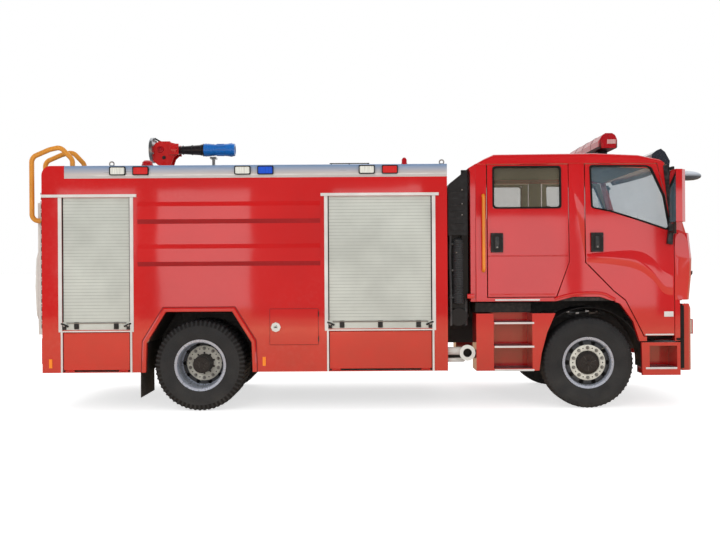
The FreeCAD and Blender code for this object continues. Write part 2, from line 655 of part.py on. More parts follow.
def make_wheels():
    """Front singles and rear twins, each side with its rims and hub as one piece."""
    at = {"x": "front_axle_x", "z": "tyre_radius"}
    front = tyre("front_tyre", size("front_axle_x"), -size("front_tyre_y"))
    node("tyre_front_right", front)
    node("tyre_front_left", mirrored("tyre_front_left", front))

    rim = Body("front_rim", at)
    rim.turn(rim_outline("-front_tyre_y"))
    rim.turn([
        ("-front_tyre_y - 92", "spindle_radius + pin_play"),
        ("-front_tyre_y - 92", "nut_ring_radius"),
        ("-front_tyre_y - 60", "bead_radius - rim_wall * 0.6"),
        ("-front_tyre_y - 60 + rim_wall", "bead_radius - rim_wall * 0.6"),
        ("-front_tyre_y - 92 + rim_wall", "nut_ring_radius - 4"),
        ("-front_tyre_y - 92 + rim_wall", "spindle_radius + pin_play"),
    ])
    rim.turn([
        ("-front_tyre_y - 138", "0"),
        ("-front_tyre_y - 138", "hub_radius * 0.72"),
        ("-front_tyre_y - 118", "hub_radius * 0.95"),
        ("-front_tyre_y - 88", "hub_radius"),
        ("-front_tyre_y - 88", "0"),
    ])
    rim.turn([
        ("-kingpin_y - 110", "spindle_radius + pin_play"),
        ("-front_tyre_y - 90", "spindle_radius + pin_play"),
        ("-front_tyre_y - 90", "hub_radius * 0.6"),
        ("-kingpin_y - 110", "hub_radius * 0.6"),
    ])
    rim.turn([
        ("-kingpin_y - 52", "drum_radius - drum_wall"),
        ("-kingpin_y - 52", "drum_radius"),
        ("-front_tyre_y - 90", "drum_radius"),
        ("-front_tyre_y - 90", "drum_radius - drum_wall"),
    ])
    front = punch_hand_holes("rim_front_right", rim.body, "front_axle_x")
    node("rim_front_right", front)
    node("rim_front_left", mirrored("rim_front_left", front))

    at = {"x": "rear_axle_x", "z": "tyre_radius"}
    axle_x = size("front_axle_x") - size("wheelbase")
    twins = group("tyres_rear_right", [
        tyre("rear_tyre_" + tag, axle_x, -size(middle))
        for tag, middle in (("outer", "rear_outer_y"), ("inner", "rear_inner_y"))
    ])
    node("tyres_rear_right", twins)
    node("tyres_rear_left", mirrored("tyres_rear_left", twins))

    middle = "-(rear_outer_y + rear_inner_y) / 2"
    rim = Body("rear_rim", at)
    rim.turn(rim_outline("-rear_outer_y"))
    rim.turn(rim_outline("-rear_inner_y"))
    rim.turn([
        (middle, "axle_tube_radius + pin_play"),
        (middle, "nut_ring_radius"),
        (middle + " - 52", "bead_radius - rim_wall * 0.6"),
        (middle + " - 52 - rim_wall", "bead_radius - rim_wall * 0.6"),
        (middle + " - rim_wall", "nut_ring_radius - 4"),
        (middle + " - rim_wall", "axle_tube_radius + pin_play"),
    ])
    rim.turn([
        (middle, "axle_tube_radius + pin_play"),
        (middle, "nut_ring_radius"),
        (middle + " + 52", "bead_radius - rim_wall * 0.6"),
        (middle + " + 52 + rim_wall", "bead_radius - rim_wall * 0.6"),
        (middle + " + rim_wall", "nut_ring_radius - 4"),
        (middle + " + rim_wall", "axle_tube_radius + pin_play"),
    ])
    rim.turn([
        ("-rear_outer_y - 62", "0"),
        ("-rear_outer_y - 62", "hub_radius * 0.6"),
        ("-rear_outer_y - 52", "hub_radius * 0.72"),
        (middle + " - 14", "hub_radius * 0.8"),
        (middle + " - 14", "axle_tube_radius + pin_play"),
        ("-rear_outer_y - 44", "axle_tube_radius + pin_play"),
        ("-rear_outer_y - 44", "0"),
    ])
    rim.turn([
        ("-rear_inner_y + 80", "axle_tube_radius + pin_play"),
        ("-rear_inner_y + 80", "drum_radius"),
        (middle + " + 4", "drum_radius"),
        (middle + " + 4", "axle_tube_radius + pin_play"),
    ])
    rear = punch_hand_holes("rims_rear_right", rim.body, "rear_axle_x")
    node("rims_rear_right", rear)
    node("rims_rear_left", mirrored("rims_rear_left", rear))


def make_steering():
    """Fork, kingpin, spindle and steering arm on each side, and the tie rod."""
    z = "tyre_radius"
    top = z + " + boss_half_height + 5"
    low = z + " - boss_half_height - 5"
    pieces = [
        rod("fork_top", "z", "boss_radius", top, top + " + fork_thick", ("front_axle_x", "-kingpin_y")),
        rod("fork_bottom", "z", "boss_radius", low + " - fork_thick", low, ("front_axle_x", "-kingpin_y")),
        rod("kingpin", "z", "kingpin_radius", low + " - fork_thick", top + " + fork_thick",
            ("front_axle_x", "-kingpin_y")),
        block("fork_arm_top", ("front_axle_x - 40", "front_axle_x + 40"),
              ("-kingpin_y - fork_reach", "-kingpin_y"), (top, top + " + fork_thick")),
        block("fork_arm_bottom", ("front_axle_x - 40", "front_axle_x + 40"),
              ("-kingpin_y - fork_reach", "-kingpin_y"), (low + " - fork_thick", low)),
        block("fork_web", ("front_axle_x - 40", "front_axle_x + 40"),
              ("-kingpin_y - fork_reach - web_thick", "-kingpin_y - fork_reach"),
              (low + " - fork_thick", top + " + fork_thick")),
        rod("spindle", "y", "spindle_radius", "-front_tyre_y - 84", "-kingpin_y - fork_reach",
            ("front_axle_x", z)),
        prism("steer_arm", "XY",
              [("front_axle_x + 20", "-kingpin_y - steer_arm_half"),
               ("front_axle_x + 20", "-kingpin_y + steer_arm_half"),
               ("front_axle_x - steer_arm_back - 18", "-kingpin_y + steer_arm_half"),
               ("front_axle_x - steer_arm_back - 18", "-kingpin_y - steer_arm_half")],
              low + " - fork_thick", low + " - 8"),
        rod("tie_pin", "z", "tie_pin_radius", low + " - fork_thick - 60", low + " - fork_thick + 6",
            ("front_axle_x - steer_arm_back", "-kingpin_y")),
    ]
    right = fuse("knuckle_right", pieces)
    node("knuckle_right", right)
    node("knuckle_left", mirrored("knuckle_left", right))

    rod_z = "(%s - fork_thick - 34)" % low
    bar = rod("tie_bar", "y", "tie_rod_radius", "-kingpin_y", "kingpin_y",
              ("front_axle_x - steer_arm_back", rod_z))
    ends, bores = [bar], []
    for side, tag in ((RIGHT, "right"), (LEFT, "left")):
        y = "%d * kingpin_y" % side
        ends.append(rod("tie_eye_" + tag, "z", "tie_pin_radius * 2.6", rod_z + " - 26", rod_z + " + 26",
                        ("front_axle_x - steer_arm_back", y)))
        bores.append(rod("tie_bore_" + tag, "z", "tie_pin_radius + pin_play", rod_z + " - 60", rod_z + " + 60",
                         ("front_axle_x - steer_arm_back", y)))
    node("tie_rod", cut("tie_rod", fuse("tie_rod_whole", ends), bores))


def arch_outline(extra):
    """The rear wheel arch, with something added all round, from its rear foot."""
    x = "arch_centre_x"
    return [
        ("%s - arch_bottom_half - %s" % (x, extra), "body_bottom - 6"),
        ("%s - arch_side_half - %s" % (x, extra), "arch_shoulder_z + %s * 0.3" % extra),
        ("%s - arch_top_half - %s * 0.6" % (x, extra), "arch_top_z + %s" % extra),
        ("%s + arch_top_half + %s * 0.6" % (x, extra), "arch_top_z + %s" % extra),
        ("%s + arch_side_half + %s" % (x, extra), "arch_shoulder_z + %s * 0.3" % extra),
        ("%s + arch_bottom_half + %s" % (x, extra), "body_bottom - 6"),
    ]


def rectangle(x, z):
    return [(x[0], z[0]), (x[1], z[0]), (x[1], z[1]), (x[0], z[1])]


BAYS = [
    ("rear", "rear_shutter_from", "rear_shutter_to"),
    ("front", "front_shutter_from", "front_shutter_to"),
]
SKIN = "-half_width"
INSIDE = "-half_width + body_wall"


def make_body():
    """The pump body: sides, end walls, floors, roof deck and silver edge."""
    side = Body("body_side")
    side.pad("XZ", [
        ("body_rear_x", "body_bottom"),
        ("body_front_x", "body_bottom"),
        ("body_front_x", "body_skin_top"),
        ("corner_block_x", "body_skin_top"),
        ("corner_block_x", "body_top"),
        ("body_rear_x", "body_top"),
    ], SKIN, INSIDE)
    corner = size("body_rear_x")
    side.soften("corner_round", lambda e: along(e, "y") and abs(e.Vertexes[0].X - corner) < 1
                and e.Vertexes[0].Z > size("body_skin_top") + 1)
    side.pad("XZ", arch_outline("lip_width")[1:5] + [
        ("arch_centre_x + arch_bottom_half + lip_width", "body_bottom"),
        ("arch_centre_x - arch_bottom_half - lip_width", "body_bottom"),
    ], SKIN + " - lip_proud", SKIN)
    side.pocket("XZ", arch_outline("0"), SKIN + " - lip_proud", INSIDE)
    for tag, start, end in BAYS:
        side.pocket("XZ", rectangle((start, end), ("shutter_bottom", "shutter_top")), SKIN, INSIDE)
        side.pocket("XZ", rectangle((start + " + 8", end + " - 2"), ("board_bottom - 22", "board_top + 6")),
                    SKIN, INSIDE)
    for tag, foot in (("upper", "rib_upper_z"), ("lower", "rib_lower_z")):
        side.pad("YZ", [
            (SKIN, foot),
            (SKIN + " - rib_proud", foot + " + rib_bevel"),
            (SKIN + " - rib_proud", foot + " + rib_height - rib_bevel"),
            (SKIN, foot + " + rib_height"),
        ], "rib_rear_x", "rib_front_x")
    side.pad("XZ", rectangle(("service_door_rear_x", "service_door_front_x"),
                             ("service_door_bottom", "service_door_top")), SKIN + " - 4", SKIN)
    latch = rod("service_latch", "y", "58", SKIN + " - 14", SKIN + " - 4",
                ("service_door_rear_x + 67", "service_door_bottom + 203"))
    lugs = []
    for tag, start, end in BAYS:
        for place, x in (("a", start + " + 60"), ("b", end + " - 110")):
            for part, shift in (("left", "-22"), ("right", "62")):
                reach = (x + " + " + shift, x + " + " + shift + " + 20")
                lugs.append(rod("board_eye_%s_%s_%s" % (tag, place, part), "x", "board_hinge_radius - 1",
                                reach[0], reach[1], (SKIN, "board_bottom - 10")))
                lugs.append(block("board_lug_%s_%s_%s" % (tag, place, part), reach,
                                  (SKIN + " - board_hinge_radius + 1", SKIN + " + board_hinge_radius - 1"),
                                  ("board_bottom - 26", "board_bottom - 10")))
            lugs.append(rod("board_pin_%s_%s" % (tag, place), "x", "board_pin_radius", x + " - 10", x + " + 70",
                            (SKIN, "board_bottom - 10")))
    right = fuse("body_side_right", [side.body, latch] + lugs)
    node("body_sides", both("body_sides", right))

    walls = []
    for tag, low, high in (("rear", "body_rear_x", "body_rear_x + body_wall"),
                           ("front", "body_front_x - body_wall", "body_front_x")):
        wall = Body("end_wall_" + tag)
        wall.pad("YZ", [
            (INSIDE, "body_bottom"),
            ("-locker_inner_y", "body_bottom"),
            ("-locker_inner_y", "frame_top"),
            ("locker_inner_y", "frame_top"),
            ("locker_inner_y", "body_bottom"),
            ("half_width - body_wall", "body_bottom"),
            ("half_width - body_wall", "body_skin_top"),
            (INSIDE, "body_skin_top"),
        ], low, high)
        if tag == "rear":
            wall.pocket("YZ", rectangle(("-tail_shutter_half", "tail_shutter_half"),
                                        ("tail_shutter_bottom", "tail_shutter_top")), low, high)
        walls.append(wall.body)
    node("body_end_walls", group("body_end_walls", walls))

    inner_rear = "body_rear_x + body_wall"
    inner_front = "body_front_x - body_wall"
    floors = [block("floor_middle", (inner_rear, inner_front), ("-locker_inner_y", "locker_inner_y"),
                    ("frame_top", "frame_top + floor_thick"))]
    for tag, low, high in (("rear", inner_rear, "arch_centre_x - arch_bottom_half - liner_wall"),
                           ("front", "arch_centre_x + arch_bottom_half + liner_wall", inner_front)):
        right = block("locker_floor_" + tag, (low, high), (INSIDE, "-locker_inner_y"),
                      ("body_bottom", "body_bottom + floor_thick"))
        wall = block("locker_wall_" + tag, (low, high), ("-locker_inner_y - floor_thick", "-locker_inner_y"),
                     ("body_bottom + floor_thick", "frame_top + floor_thick"))
        half = fuse("locker_" + tag, [right, wall])
        floors += [half, mirrored("locker_mirror_" + tag, half)]
    node("body_floor", fuse("body_floor", floors))

    plate = block("deck_plate", ("body_rear_x", "body_front_x"), (INSIDE, "half_width - body_wall"),
                  ("body_skin_top", "body_skin_top + deck_thick"))
    node("roof_deck", fuse("roof_deck", [plate, make_hatch_frame()]))
    edge = Body("edge_side")
    edge.pad("YZ", rectangle((SKIN, INSIDE), ("body_skin_top", "body_top")), "corner_block_x", "body_front_x")
    edge.soften("18", lambda e: along(e, "x") and e.Vertexes[0].Z > size("body_top") - 1
                and e.Vertexes[0].Y < -size("half_width") + 1)
    deck = "body_skin_top + deck_thick"
    front = block("edge_front", ("body_front_x - body_wall", "body_front_x"), (INSIDE, "half_width - body_wall"),
                  (deck, "body_top"))
    rear = block("edge_rear", ("body_rear_x", "body_rear_x + body_wall"), (INSIDE, "half_width - body_wall"),
                 (deck, "body_top - 60"))
    sides = [edge.body, mirrored("edge_mirror", edge.body)]
    node("roof_edge", group("roof_edge", [fuse("edge_run", sides + [front]), rear]))


def shutter_curtain(name, plane, across, up, low, high, face_low):
    """A slatted curtain: a plate with a groove between each pair of slats."""
    curtain = Body(name)
    curtain.pad(plane, rectangle(across, up), low, high)
    start = "%s + bottom_bar_height" % up[0]
    groove_high = "%s + slat_groove" % low if face_low else high
    groove_low = low if face_low else "%s - slat_groove" % high
    groove = curtain.pocket(plane, rectangle(across, (start, start + " + 5")), groove_low, groove_high)
    pattern = curtain.body.newObject("PartDesign::LinearPattern", name + "_slats")
    pattern.Originals = [groove]
    pattern.Direction = (groove.Profile[0], ["V_Axis"])
    bind(pattern, "Occurrences", "floor((%s - (%s)) / slat_pitch)" % (up[1], start))
    bind(pattern, "Length", "slat_pitch * (floor((%s - (%s)) / slat_pitch) - 1)" % (up[1], start))
    curtain.body.Tip = pattern
    return curtain.body


def make_shutters():
    """The five roller shutters and the pale frames round them."""
    curtains, frames = [], []
    face = SKIN + " + shutter_recess"
    for tag, start, end in BAYS:
        curtain = shutter_curtain("curtain_" + tag, "XZ", (start, end), ("shutter_bottom", "shutter_top"),
                                  face, face + " + slat_thick", True)
        bar = block("bottom_bar_" + tag, (start, end), (face + " - 6", face),
                    ("shutter_bottom", "shutter_bottom + bottom_bar_height"))
        right = fuse("shutter_right_" + tag, [curtain, bar])
        curtains += [right, mirrored("shutter_left_" + tag, right)]

        out = (SKIN + " - strip_proud", SKIN)
        wide = (start + " - frame_strip", end + " + frame_strip")
        sill = ("shutter_bottom - sill_strip_height - 8", "shutter_bottom - 8")
        strips = [
            block("strip_a_" + tag, (wide[0], start), out, (sill[0], "drip_bottom")),
            block("strip_b_" + tag, (end, wide[1]), out, (sill[0], "drip_bottom")),
            block("strip_sill_" + tag, wide, out, sill),
            block("strip_drip_" + tag, ("body_rear_x" if tag == "rear" else wide[0] + " - 40", wide[1] + " + 40"),
                  (SKIN + " - drip_proud", SKIN),
                  ("drip_bottom", "drip_bottom + drip_height")),
            block("strip_foot_a_" + tag, (start + " - 16", start + " + 6"), out, ("body_bottom", sill[0])),
            block("strip_foot_b_" + tag, (end, end + " + 22"), out, ("body_bottom", sill[0])),
        ]
        right = fuse("strips_right_" + tag, strips)
        frames += [right, mirrored("strips_left_" + tag, right)]
    tail = shutter_curtain("curtain_tail", "YZ", ("-tail_shutter_half", "tail_shutter_half"),
                           ("tail_shutter_bottom", "tail_shutter_top"), "body_rear_x + shutter_recess",
                           "body_rear_x + shutter_recess + slat_thick", True)
    curtains.append(tail)
    node("roller_shutters", group("roller_shutters", curtains))
    node("shutter_frames", group("shutter_frames", frames))


def make_footboards():
    """Fold-down boards under the side shutters, on pins along their lower edges."""
    for tag, start, end in BAYS:
        board = block("board_panel_" + tag, (start + " + 16", end + " - 10"), (SKIN, SKIN + " + board_thick"),
                      ("board_bottom", "board_top"))
        knuckles, bores = [], []
        for place, x in (("a", start + " + 60"), ("b", end + " - 110")):
            knuckles.append(rod("board_knuckle_%s_%s" % (tag, place), "x", "board_hinge_radius",
                                x, x + " + 60", (SKIN, "board_bottom - 10")))
            knuckles.append(block("board_tab_%s_%s" % (tag, place), (x, x + " + 60"),
                                  (SKIN, SKIN + " + board_hinge_radius"), ("board_bottom - 10", "board_bottom + 20")))
            bores.append(rod("board_bore_%s_%s" % (tag, place), "x", "board_pin_radius + pin_play",
                             x + " - 5", x + " + 65", (SKIN, "board_bottom - 10")))
        right = cut("footboard_%s_right" % tag, fuse("board_whole_" + tag, [board] + knuckles), bores)
        node("footboard_%s_right" % tag, right)
        node("footboard_%s_left" % tag, mirrored("footboard_%s_left" % tag, right))


def make_mudguards():
    """Front liners round the steered wheels, rear housings and flaps."""
    centre = ("front_axle_x", "tyre_radius")
    outer = rod("guard_outer", "y", "guard_radius + guard_wall", SKIN + " + cab_wall + 10", "-kingpin_y + 40",
                centre)
    inner = rod("guard_inner", "y", "guard_radius", SKIN, "-kingpin_y + 60", centre)
    below = block("guard_below", ("front_axle_x - guard_radius * 2", "front_axle_x + guard_radius * 2"),
                  (SKIN, "0"), ("tyre_radius - guard_radius * 2", "tyre_radius"))
    legs = [
        block("guard_leg_" + tag, x, (SKIN + " + cab_wall + 10", "-kingpin_y + 40"),
              ("tyre_radius - 60", "tyre_radius"))
        for tag, x in (
            ("rear", ("front_axle_x - guard_radius - guard_wall", "front_axle_x - guard_radius")),
            ("front", ("front_axle_x + guard_radius", "front_axle_x + guard_radius + guard_wall")),
        )
    ]
    front = fuse("front_guard_right", [cut("front_guard_ring", outer, [inner, below])] + legs)

    house = Body("rear_house")
    far = "-locker_inner_y"
    house.pad("XZ", arch_outline("liner_wall")[1:5] + [
        ("arch_centre_x + arch_bottom_half + liner_wall", "body_bottom"),
        ("arch_centre_x - arch_bottom_half - liner_wall", "body_bottom"),
    ], INSIDE, far)
    house.pocket("XZ", arch_outline("0"), INSIDE, far)
    flap = block("rear_flap_right", ("flap_x", "flap_x + 12"), (SKIN + " + 15", far + " - 60"),
                 ("flap_bottom", "body_bottom"))
    right = group("mudguards_right", [front, house.body, flap])
    node("mudguards", both("mudguards", right))


def make_rear_gear():
    """The ladder, its pale side guard and the two handrail hoops."""
    x = ("ladder_rear_x", "ladder_rear_x + ladder_depth")
    pieces = []
    for tag, y in (("outer", "ladder_outer_y"), ("inner", "ladder_inner_y")):
        pieces.append(block("stile_" + tag, x, (y + " - ladder_stile / 2", y + " + ladder_stile / 2"),
                            ("ladder_bottom", "ladder_top")))
        for i, z in enumerate(("ladder_bottom + 90", "(ladder_bottom + ladder_top) / 2", "ladder_top - 90")):
            pieces.append(block("stay_%s_%d" % (tag, i), ("ladder_rear_x + ladder_depth", "body_rear_x"),
                                (y + " - 12", y + " + 12"), (z + " - 22", z + " + 22")))
    count = 6
    for i in range(count):
        z = "ladder_bottom + (ladder_top - ladder_bottom) * %g" % ((i + 0.5) / count)
        pieces.append(rod("rung_%d" % i, "y", "rung_radius", "ladder_outer_y", "ladder_inner_y",
                          ("ladder_rear_x + ladder_depth / 2", z)))
    guard = Body("ladder_guard")
    guard.pad("XZ", [
        ("ladder_rear_x", "ladder_bottom + 181"),
        ("ladder_rear_x - 20", "ladder_bottom + 241"),
        ("ladder_rear_x - 35", "ladder_bottom + 571"),
        ("ladder_rear_x - 20", "ladder_bottom + 901"),
        ("ladder_rear_x", "ladder_bottom + 969"),
    ], "ladder_outer_y - ladder_stile / 2 - 4", "ladder_outer_y + ladder_stile / 2")
    pieces.append(guard.body)
    node("rear_ladder", fuse("rear_ladder", pieces))

    deck = size("body_skin_top") + size("deck_thick")
    hoops = []
    for tag, y in (("outer", size("hoop_outer_y")), ("inner", size("hoop_inner_y"))):
        wall = size("body_rear_x")
        foot = size("hoop_foot_z")
        top = size("hoop_top_z")
        points = [
            (wall, y, foot),
            (wall - 151, y, foot),
            (wall - 151, y, top - 118),
            (wall + 60, y, top - 28),
            (wall + 190, y, top),
            (wall + 330, y, top - 148),
            (wall + 330, y, deck),
        ]
        hoops.append(bent_tube("hoop_" + tag, points, [80, 90, 150, 90, 90], size("hoop_radius")))
    node("ladder_hoops", group("ladder_hoops", hoops))


def make_monitor():
    """Roof monitor: foot, swivelling body and pitching barrel, and the barrel's post."""
    deck = "body_skin_top + deck_thick"
    foot = [
        rod("monitor_foot", "z", "monitor_flange_radius", deck, deck + " + 22", ("monitor_x", "0")),
        rod("monitor_riser", "z", "monitor_pipe_radius", deck, "swivel_z - seat_gap", ("monitor_x", "0")),
        rod("monitor_collar", "z", "monitor_pipe_radius + 22", "swivel_z - 40", "swivel_z - seat_gap",
            ("monitor_x", "0")),
    ]
    post = [
        block("rest_foot", ("barrel_rest_x - 50", "barrel_rest_x + 50"), ("-60", "60"), (deck, deck + " + 12")),
        block("rest_post", ("barrel_rest_x - 18", "barrel_rest_x + 18"), ("-18", "18"),
              (deck, "pitch_z - 118")),
        block("rest_pad", ("barrel_rest_x - 40", "barrel_rest_x + 40"), ("-60", "60"),
              ("pitch_z - 118", "pitch_z - 96")),
    ]
    node("monitor_base", group("monitor_base", [fuse("monitor_base_foot", foot), fuse("barrel_rest", post)]))

    body = Body("monitor_loop")
    body.pad("XZ", [
        ("monitor_x - 156", "swivel_z + 120"),
        ("monitor_x - 90", "swivel_z + 60"),
        ("monitor_x + 80", "swivel_z + 60"),
        ("monitor_x + 110", "swivel_z + 150"),
        ("monitor_x + 154", "swivel_z + 190"),
        ("monitor_x + 154", "swivel_z + 336"),
        ("monitor_x + 40", "swivel_z + 362"),
        ("monitor_x - 110", "swivel_z + 356"),
        ("monitor_x - 156", "swivel_z + 310"),
    ], "-85", "85")
    body.soften("28", lambda e: along(e, "y"))
    ring = rod("monitor_ring", "z", "monitor_pipe_radius + 22", "swivel_z", "swivel_z + 90", ("monitor_x", "0"))
    flange = rod("monitor_flange", "x", "165", "monitor_x - 192", "monitor_x - 154", ("0", "swivel_z + 262"))
    cheek_x = ("monitor_x + 60", "pitch_x + 60")
    cheeks = [
        block("cheek_right", cheek_x, ("-115", "-80"), ("pitch_z - 70", "pitch_z + 70")),
        block("cheek_left", cheek_x, ("80", "115"), ("pitch_z - 70", "pitch_z + 70")),
    ]
    whole = fuse("monitor_body_whole", [body.body, ring, flange] + cheeks)
    room = block("barrel_room", ("pitch_x - 80", "pitch_x + 200"), ("-80", "80"), ("pitch_z - 200", "pitch_z + 200"))
    hole = rod("monitor_hole", "y", "32", "-90", "90", ("monitor_x - 60", "swivel_z + 265"))
    pin_bore = rod("pitch_bore", "y", "18 + pin_play", "-130", "130", ("pitch_x", "pitch_z"))
    node("monitor_body", cut("monitor_body", whole, [room, hole, pin_bore]))

    barrel = Body("barrel", {"x": "pitch_x", "z": "pitch_z"})
    end = "barrel_end_x - pitch_x"
    barrel.turn([
        ("-40", "0"),
        ("-40", "44"),
        ("-20", "58"),
        ("40", "58"),
        ("60", "50"),
        ("360", "70"),
        ("360", "82"),
        ("430", "84"),
        ("520", "74"),
        (end + " - 120", "78"),
        (end + " - 60", "88"),
        (end, "80"),
        (end, "56"),
        (end + " - 180", "40"),
        (end + " - 180", "0"),
    ], plane="XZ")
    pins = rod("pitch_pin", "y", "18", "-112", "112", ("pitch_x", "pitch_z"))
    node("monitor_barrel", fuse("monitor_barrel", [barrel.body, pins]))

    lid = [
        rod("lid_plate", "z", "hatch_radius", deck + " + 12", deck + " + 34", ("hatch_x", "0")),
        block("lid_strap", ("hatch_x - hatch_radius - 46", "hatch_x + hatch_radius * 0.6"), ("-45", "45"),
              (deck + " + 30", deck + " + 46")),
        rod("lid_knuckle", "y", "16", "-45", "45", ("hatch_x - hatch_radius - 46", deck + " + 30")),
        block("lid_grip", ("hatch_x + hatch_radius * 0.5", "hatch_x + hatch_radius * 0.6"), ("-80", "80"),
              (deck + " + 30", deck + " + 90")),
    ]
    lid_bore = rod("lid_bore", "y", "8 + pin_play", "-50", "50", ("hatch_x - hatch_radius - 46", deck + " + 30"))
    node("hatch_lid", cut("hatch_lid", fuse("lid_whole", lid), [lid_bore]))


def make_hatch_frame():
    """The manhole's raised ring and hinge on the roof deck."""
    deck = "body_skin_top + deck_thick"
    ring = rod("hatch_ring", "z", "hatch_radius - 10", deck, deck + " + 12 - seat_gap", ("hatch_x", "0"))
    inner = rod("hatch_inner", "z", "hatch_radius - 40", deck + " + 2", deck + " + 40", ("hatch_x", "0"))
    x = "hatch_x - hatch_radius - 46"
    lugs = [
        block("hatch_lug_right", (x + " - 16", x + " + 16"), ("-66", "-51"), (deck, deck + " + 46")),
        block("hatch_lug_left", (x + " - 16", x + " + 16"), ("51", "66"), (deck, deck + " + 46")),
        rod("hatch_pin", "y", "8", "-64", "64", (x, deck + " + 30")),
    ]
    return fuse("hatch_frame", [cut("hatch_rim", ring, [inner])] + lugs)


def side_slab(name, low, high, foot):
    """The cab's side as one slab, as thick as a door, leaning in above the crease."""
    skin = "half_width"
    return prism(name, "YZ", [
        ("-%s" % skin, foot),
        ("-%s" % skin, "cab_crease_z"),
        ("-%s + cab_lean" % skin, "cab_eave_z"),
        ("-%s + cab_lean + cab_wall" % skin, "cab_eave_z"),
        ("-%s + cab_wall" % skin, "cab_crease_z"),
        ("-%s + cab_wall" % skin, foot),
    ], low, high)


def crew_door_outline(gap, swing):
    """The crew door in side view; a gap greater than 0 gives the opening round it."""
    return [
        ("crew_door_rear_x - (%s)" % swing, "crew_door_bottom - (%s)" % gap),
        ("crew_door_front_x - 150 + (%s)" % gap, "crew_door_bottom - (%s)" % gap),
        ("crew_door_front_x + (%s)" % gap, "crew_door_bottom + 400"),
        ("crew_door_front_x + (%s)" % gap, "door_top + (%s)" % gap),
        ("crew_door_rear_x - (%s)" % swing, "door_top + (%s)" % gap),
    ]


def cab_door_outline(gap, swing):
    """The front door in side view, with its lower edge over the wheel arch."""
    rear = "cab_door_rear_x - (%s)" % swing
    front = "cab_door_front_x + (%s)" % gap
    return [
        (rear, "cab_crease_z - 64 - (%s)" % gap),
        ("cab_door_rear_x + 327 - (%s)" % gap, "cab_floor_z + 120 - (%s)" % gap),
        ("cab_door_rear_x + 463 - (%s)" % gap, "cab_floor_z + 11 - (%s)" % gap),
        ("cab_door_rear_x + 599 - (%s)" % gap, "cab_step_top + 235 - (%s)" % gap),
        ("cab_door_rear_x + 676 - (%s)" % gap, "cab_door_bottom - (%s)" % gap),
        (front, "cab_door_bottom - (%s)" % gap),
        (front, "screen_bottom + 48"),
        ("cab_door_front_x - 189 + (%s)" % gap, "door_top + (%s)" % gap),
        (rear, "door_top + (%s)" % gap),
    ]


CREW_WINDOW = [
    ("crew_door_rear_x + 67", "window_bottom"),
    ("crew_door_front_x - 87", "window_bottom"),
    ("crew_door_front_x - 87", "door_top - 24"),
    ("crew_door_rear_x + 67", "door_top - 24"),
]
CAB_WINDOW = [
    ("cab_door_rear_x + 56", "door_top - 17"),
    ("cab_door_rear_x + 72", "window_bottom"),
    ("cab_door_rear_x + 295", "window_bottom - 39"),
    ("cab_door_rear_x + 608", "window_bottom - 145"),
    ("cab_door_rear_x + 941", "screen_bottom + 40"),
    ("cab_door_front_x - 42", "screen_bottom + 61"),
    ("cab_door_front_x - 105", "screen_bottom + 435"),
    ("cab_door_front_x - 250", "door_top - 51"),
]


def make_doors():
    """Four doors cut from the cab's sides, each with its window and pane."""
    for tag, outline, window in (
        ("crew", crew_door_outline("0", "0"), CREW_WINDOW),
        ("cab", cab_door_outline("0", "0"), CAB_WINDOW),
    ):
        slab = side_slab("door_slab_" + tag, "cab_rear_x", "cab_door_front_x + 200", "cab_door_bottom - 60")
        shape = prism("door_shape_" + tag, "XZ", outline, SKIN + " - 20", SKIN + " + 200")
        opening = prism("door_window_" + tag, "XZ", window, SKIN + " - 20", SKIN + " + 200")
        panel = cut("door_panel_" + tag, common("door_blank_" + tag, slab, shape), [opening])
        start = "crew_door_rear_x + 35" if tag == "crew" else "cab_door_rear_x + 56"
        handle = block("handle_" + tag, (start, start + " + 140"), (SKIN + " - 24", SKIN + " + 30"),
                       ("cab_crease_z + 52", "cab_crease_z + 276"))
        pieces = [panel, handle]
        if tag == "cab":
            pieces += make_mirror_on_door()
        right = fuse("door_%s_right" % tag, pieces)
        node("door_%s_right" % tag, right)
        node("door_%s_left" % tag, mirrored("door_%s_left" % tag, right))

        skin = "half_width - cab_wall / 2"
        pane_slab = prism("pane_slab_" + tag, "YZ", [
            ("-(%s) - glass_thick" % skin, "cab_crease_z"),
            ("-(%s) - glass_thick + cab_lean" % skin, "cab_eave_z"),
            ("-(%s) + cab_lean" % skin, "cab_eave_z"),
            ("-(%s)" % skin, "cab_crease_z"),
        ], "cab_rear_x", "cab_door_front_x + 200")
        shape = prism("pane_shape_" + tag, "XZ", window, SKIN + " - 20", SKIN + " + 200")
        pane = common("pane_%s_right" % tag, pane_slab, shape)
        node("pane_%s_right" % tag, pane)
        node("pane_%s_left" % tag, mirrored("pane_%s_left" % tag, pane))


def make_mirror_on_door():
    """Main mirror: a tall housing on two arms from the door's front edge."""
    housing = Body("mirror_housing")
    housing.pad("XY", [
        ("cab_door_front_x - 95", SKIN + " - 135"),
        ("cab_door_front_x - 95", SKIN + " - 330"),
        ("cab_door_front_x - 20", SKIN + " - 320"),
        ("cab_door_front_x + 35", SKIN + " - 260"),
        ("cab_door_front_x + 35", SKIN + " - 190"),
        ("cab_door_front_x - 30", SKIN + " - 135"),
    ], "screen_bottom + 114", "door_top - 102")
    x = "cab_door_front_x - 60"
    arms = [
        rod("mirror_arm_low", "y", "12", SKIN + " - 185", SKIN + " + 20", (x, "screen_bottom + 8")),
        rod("mirror_arm_high", "y", "11", SKIN + " - 185", SKIN + " + 20", (x, "screen_bottom + 168")),
        rod("mirror_stem", "z", "18", "screen_bottom - 17", "screen_bottom + 188", (x, SKIN + " - 190")),
    ]
    return [housing.body] + arms


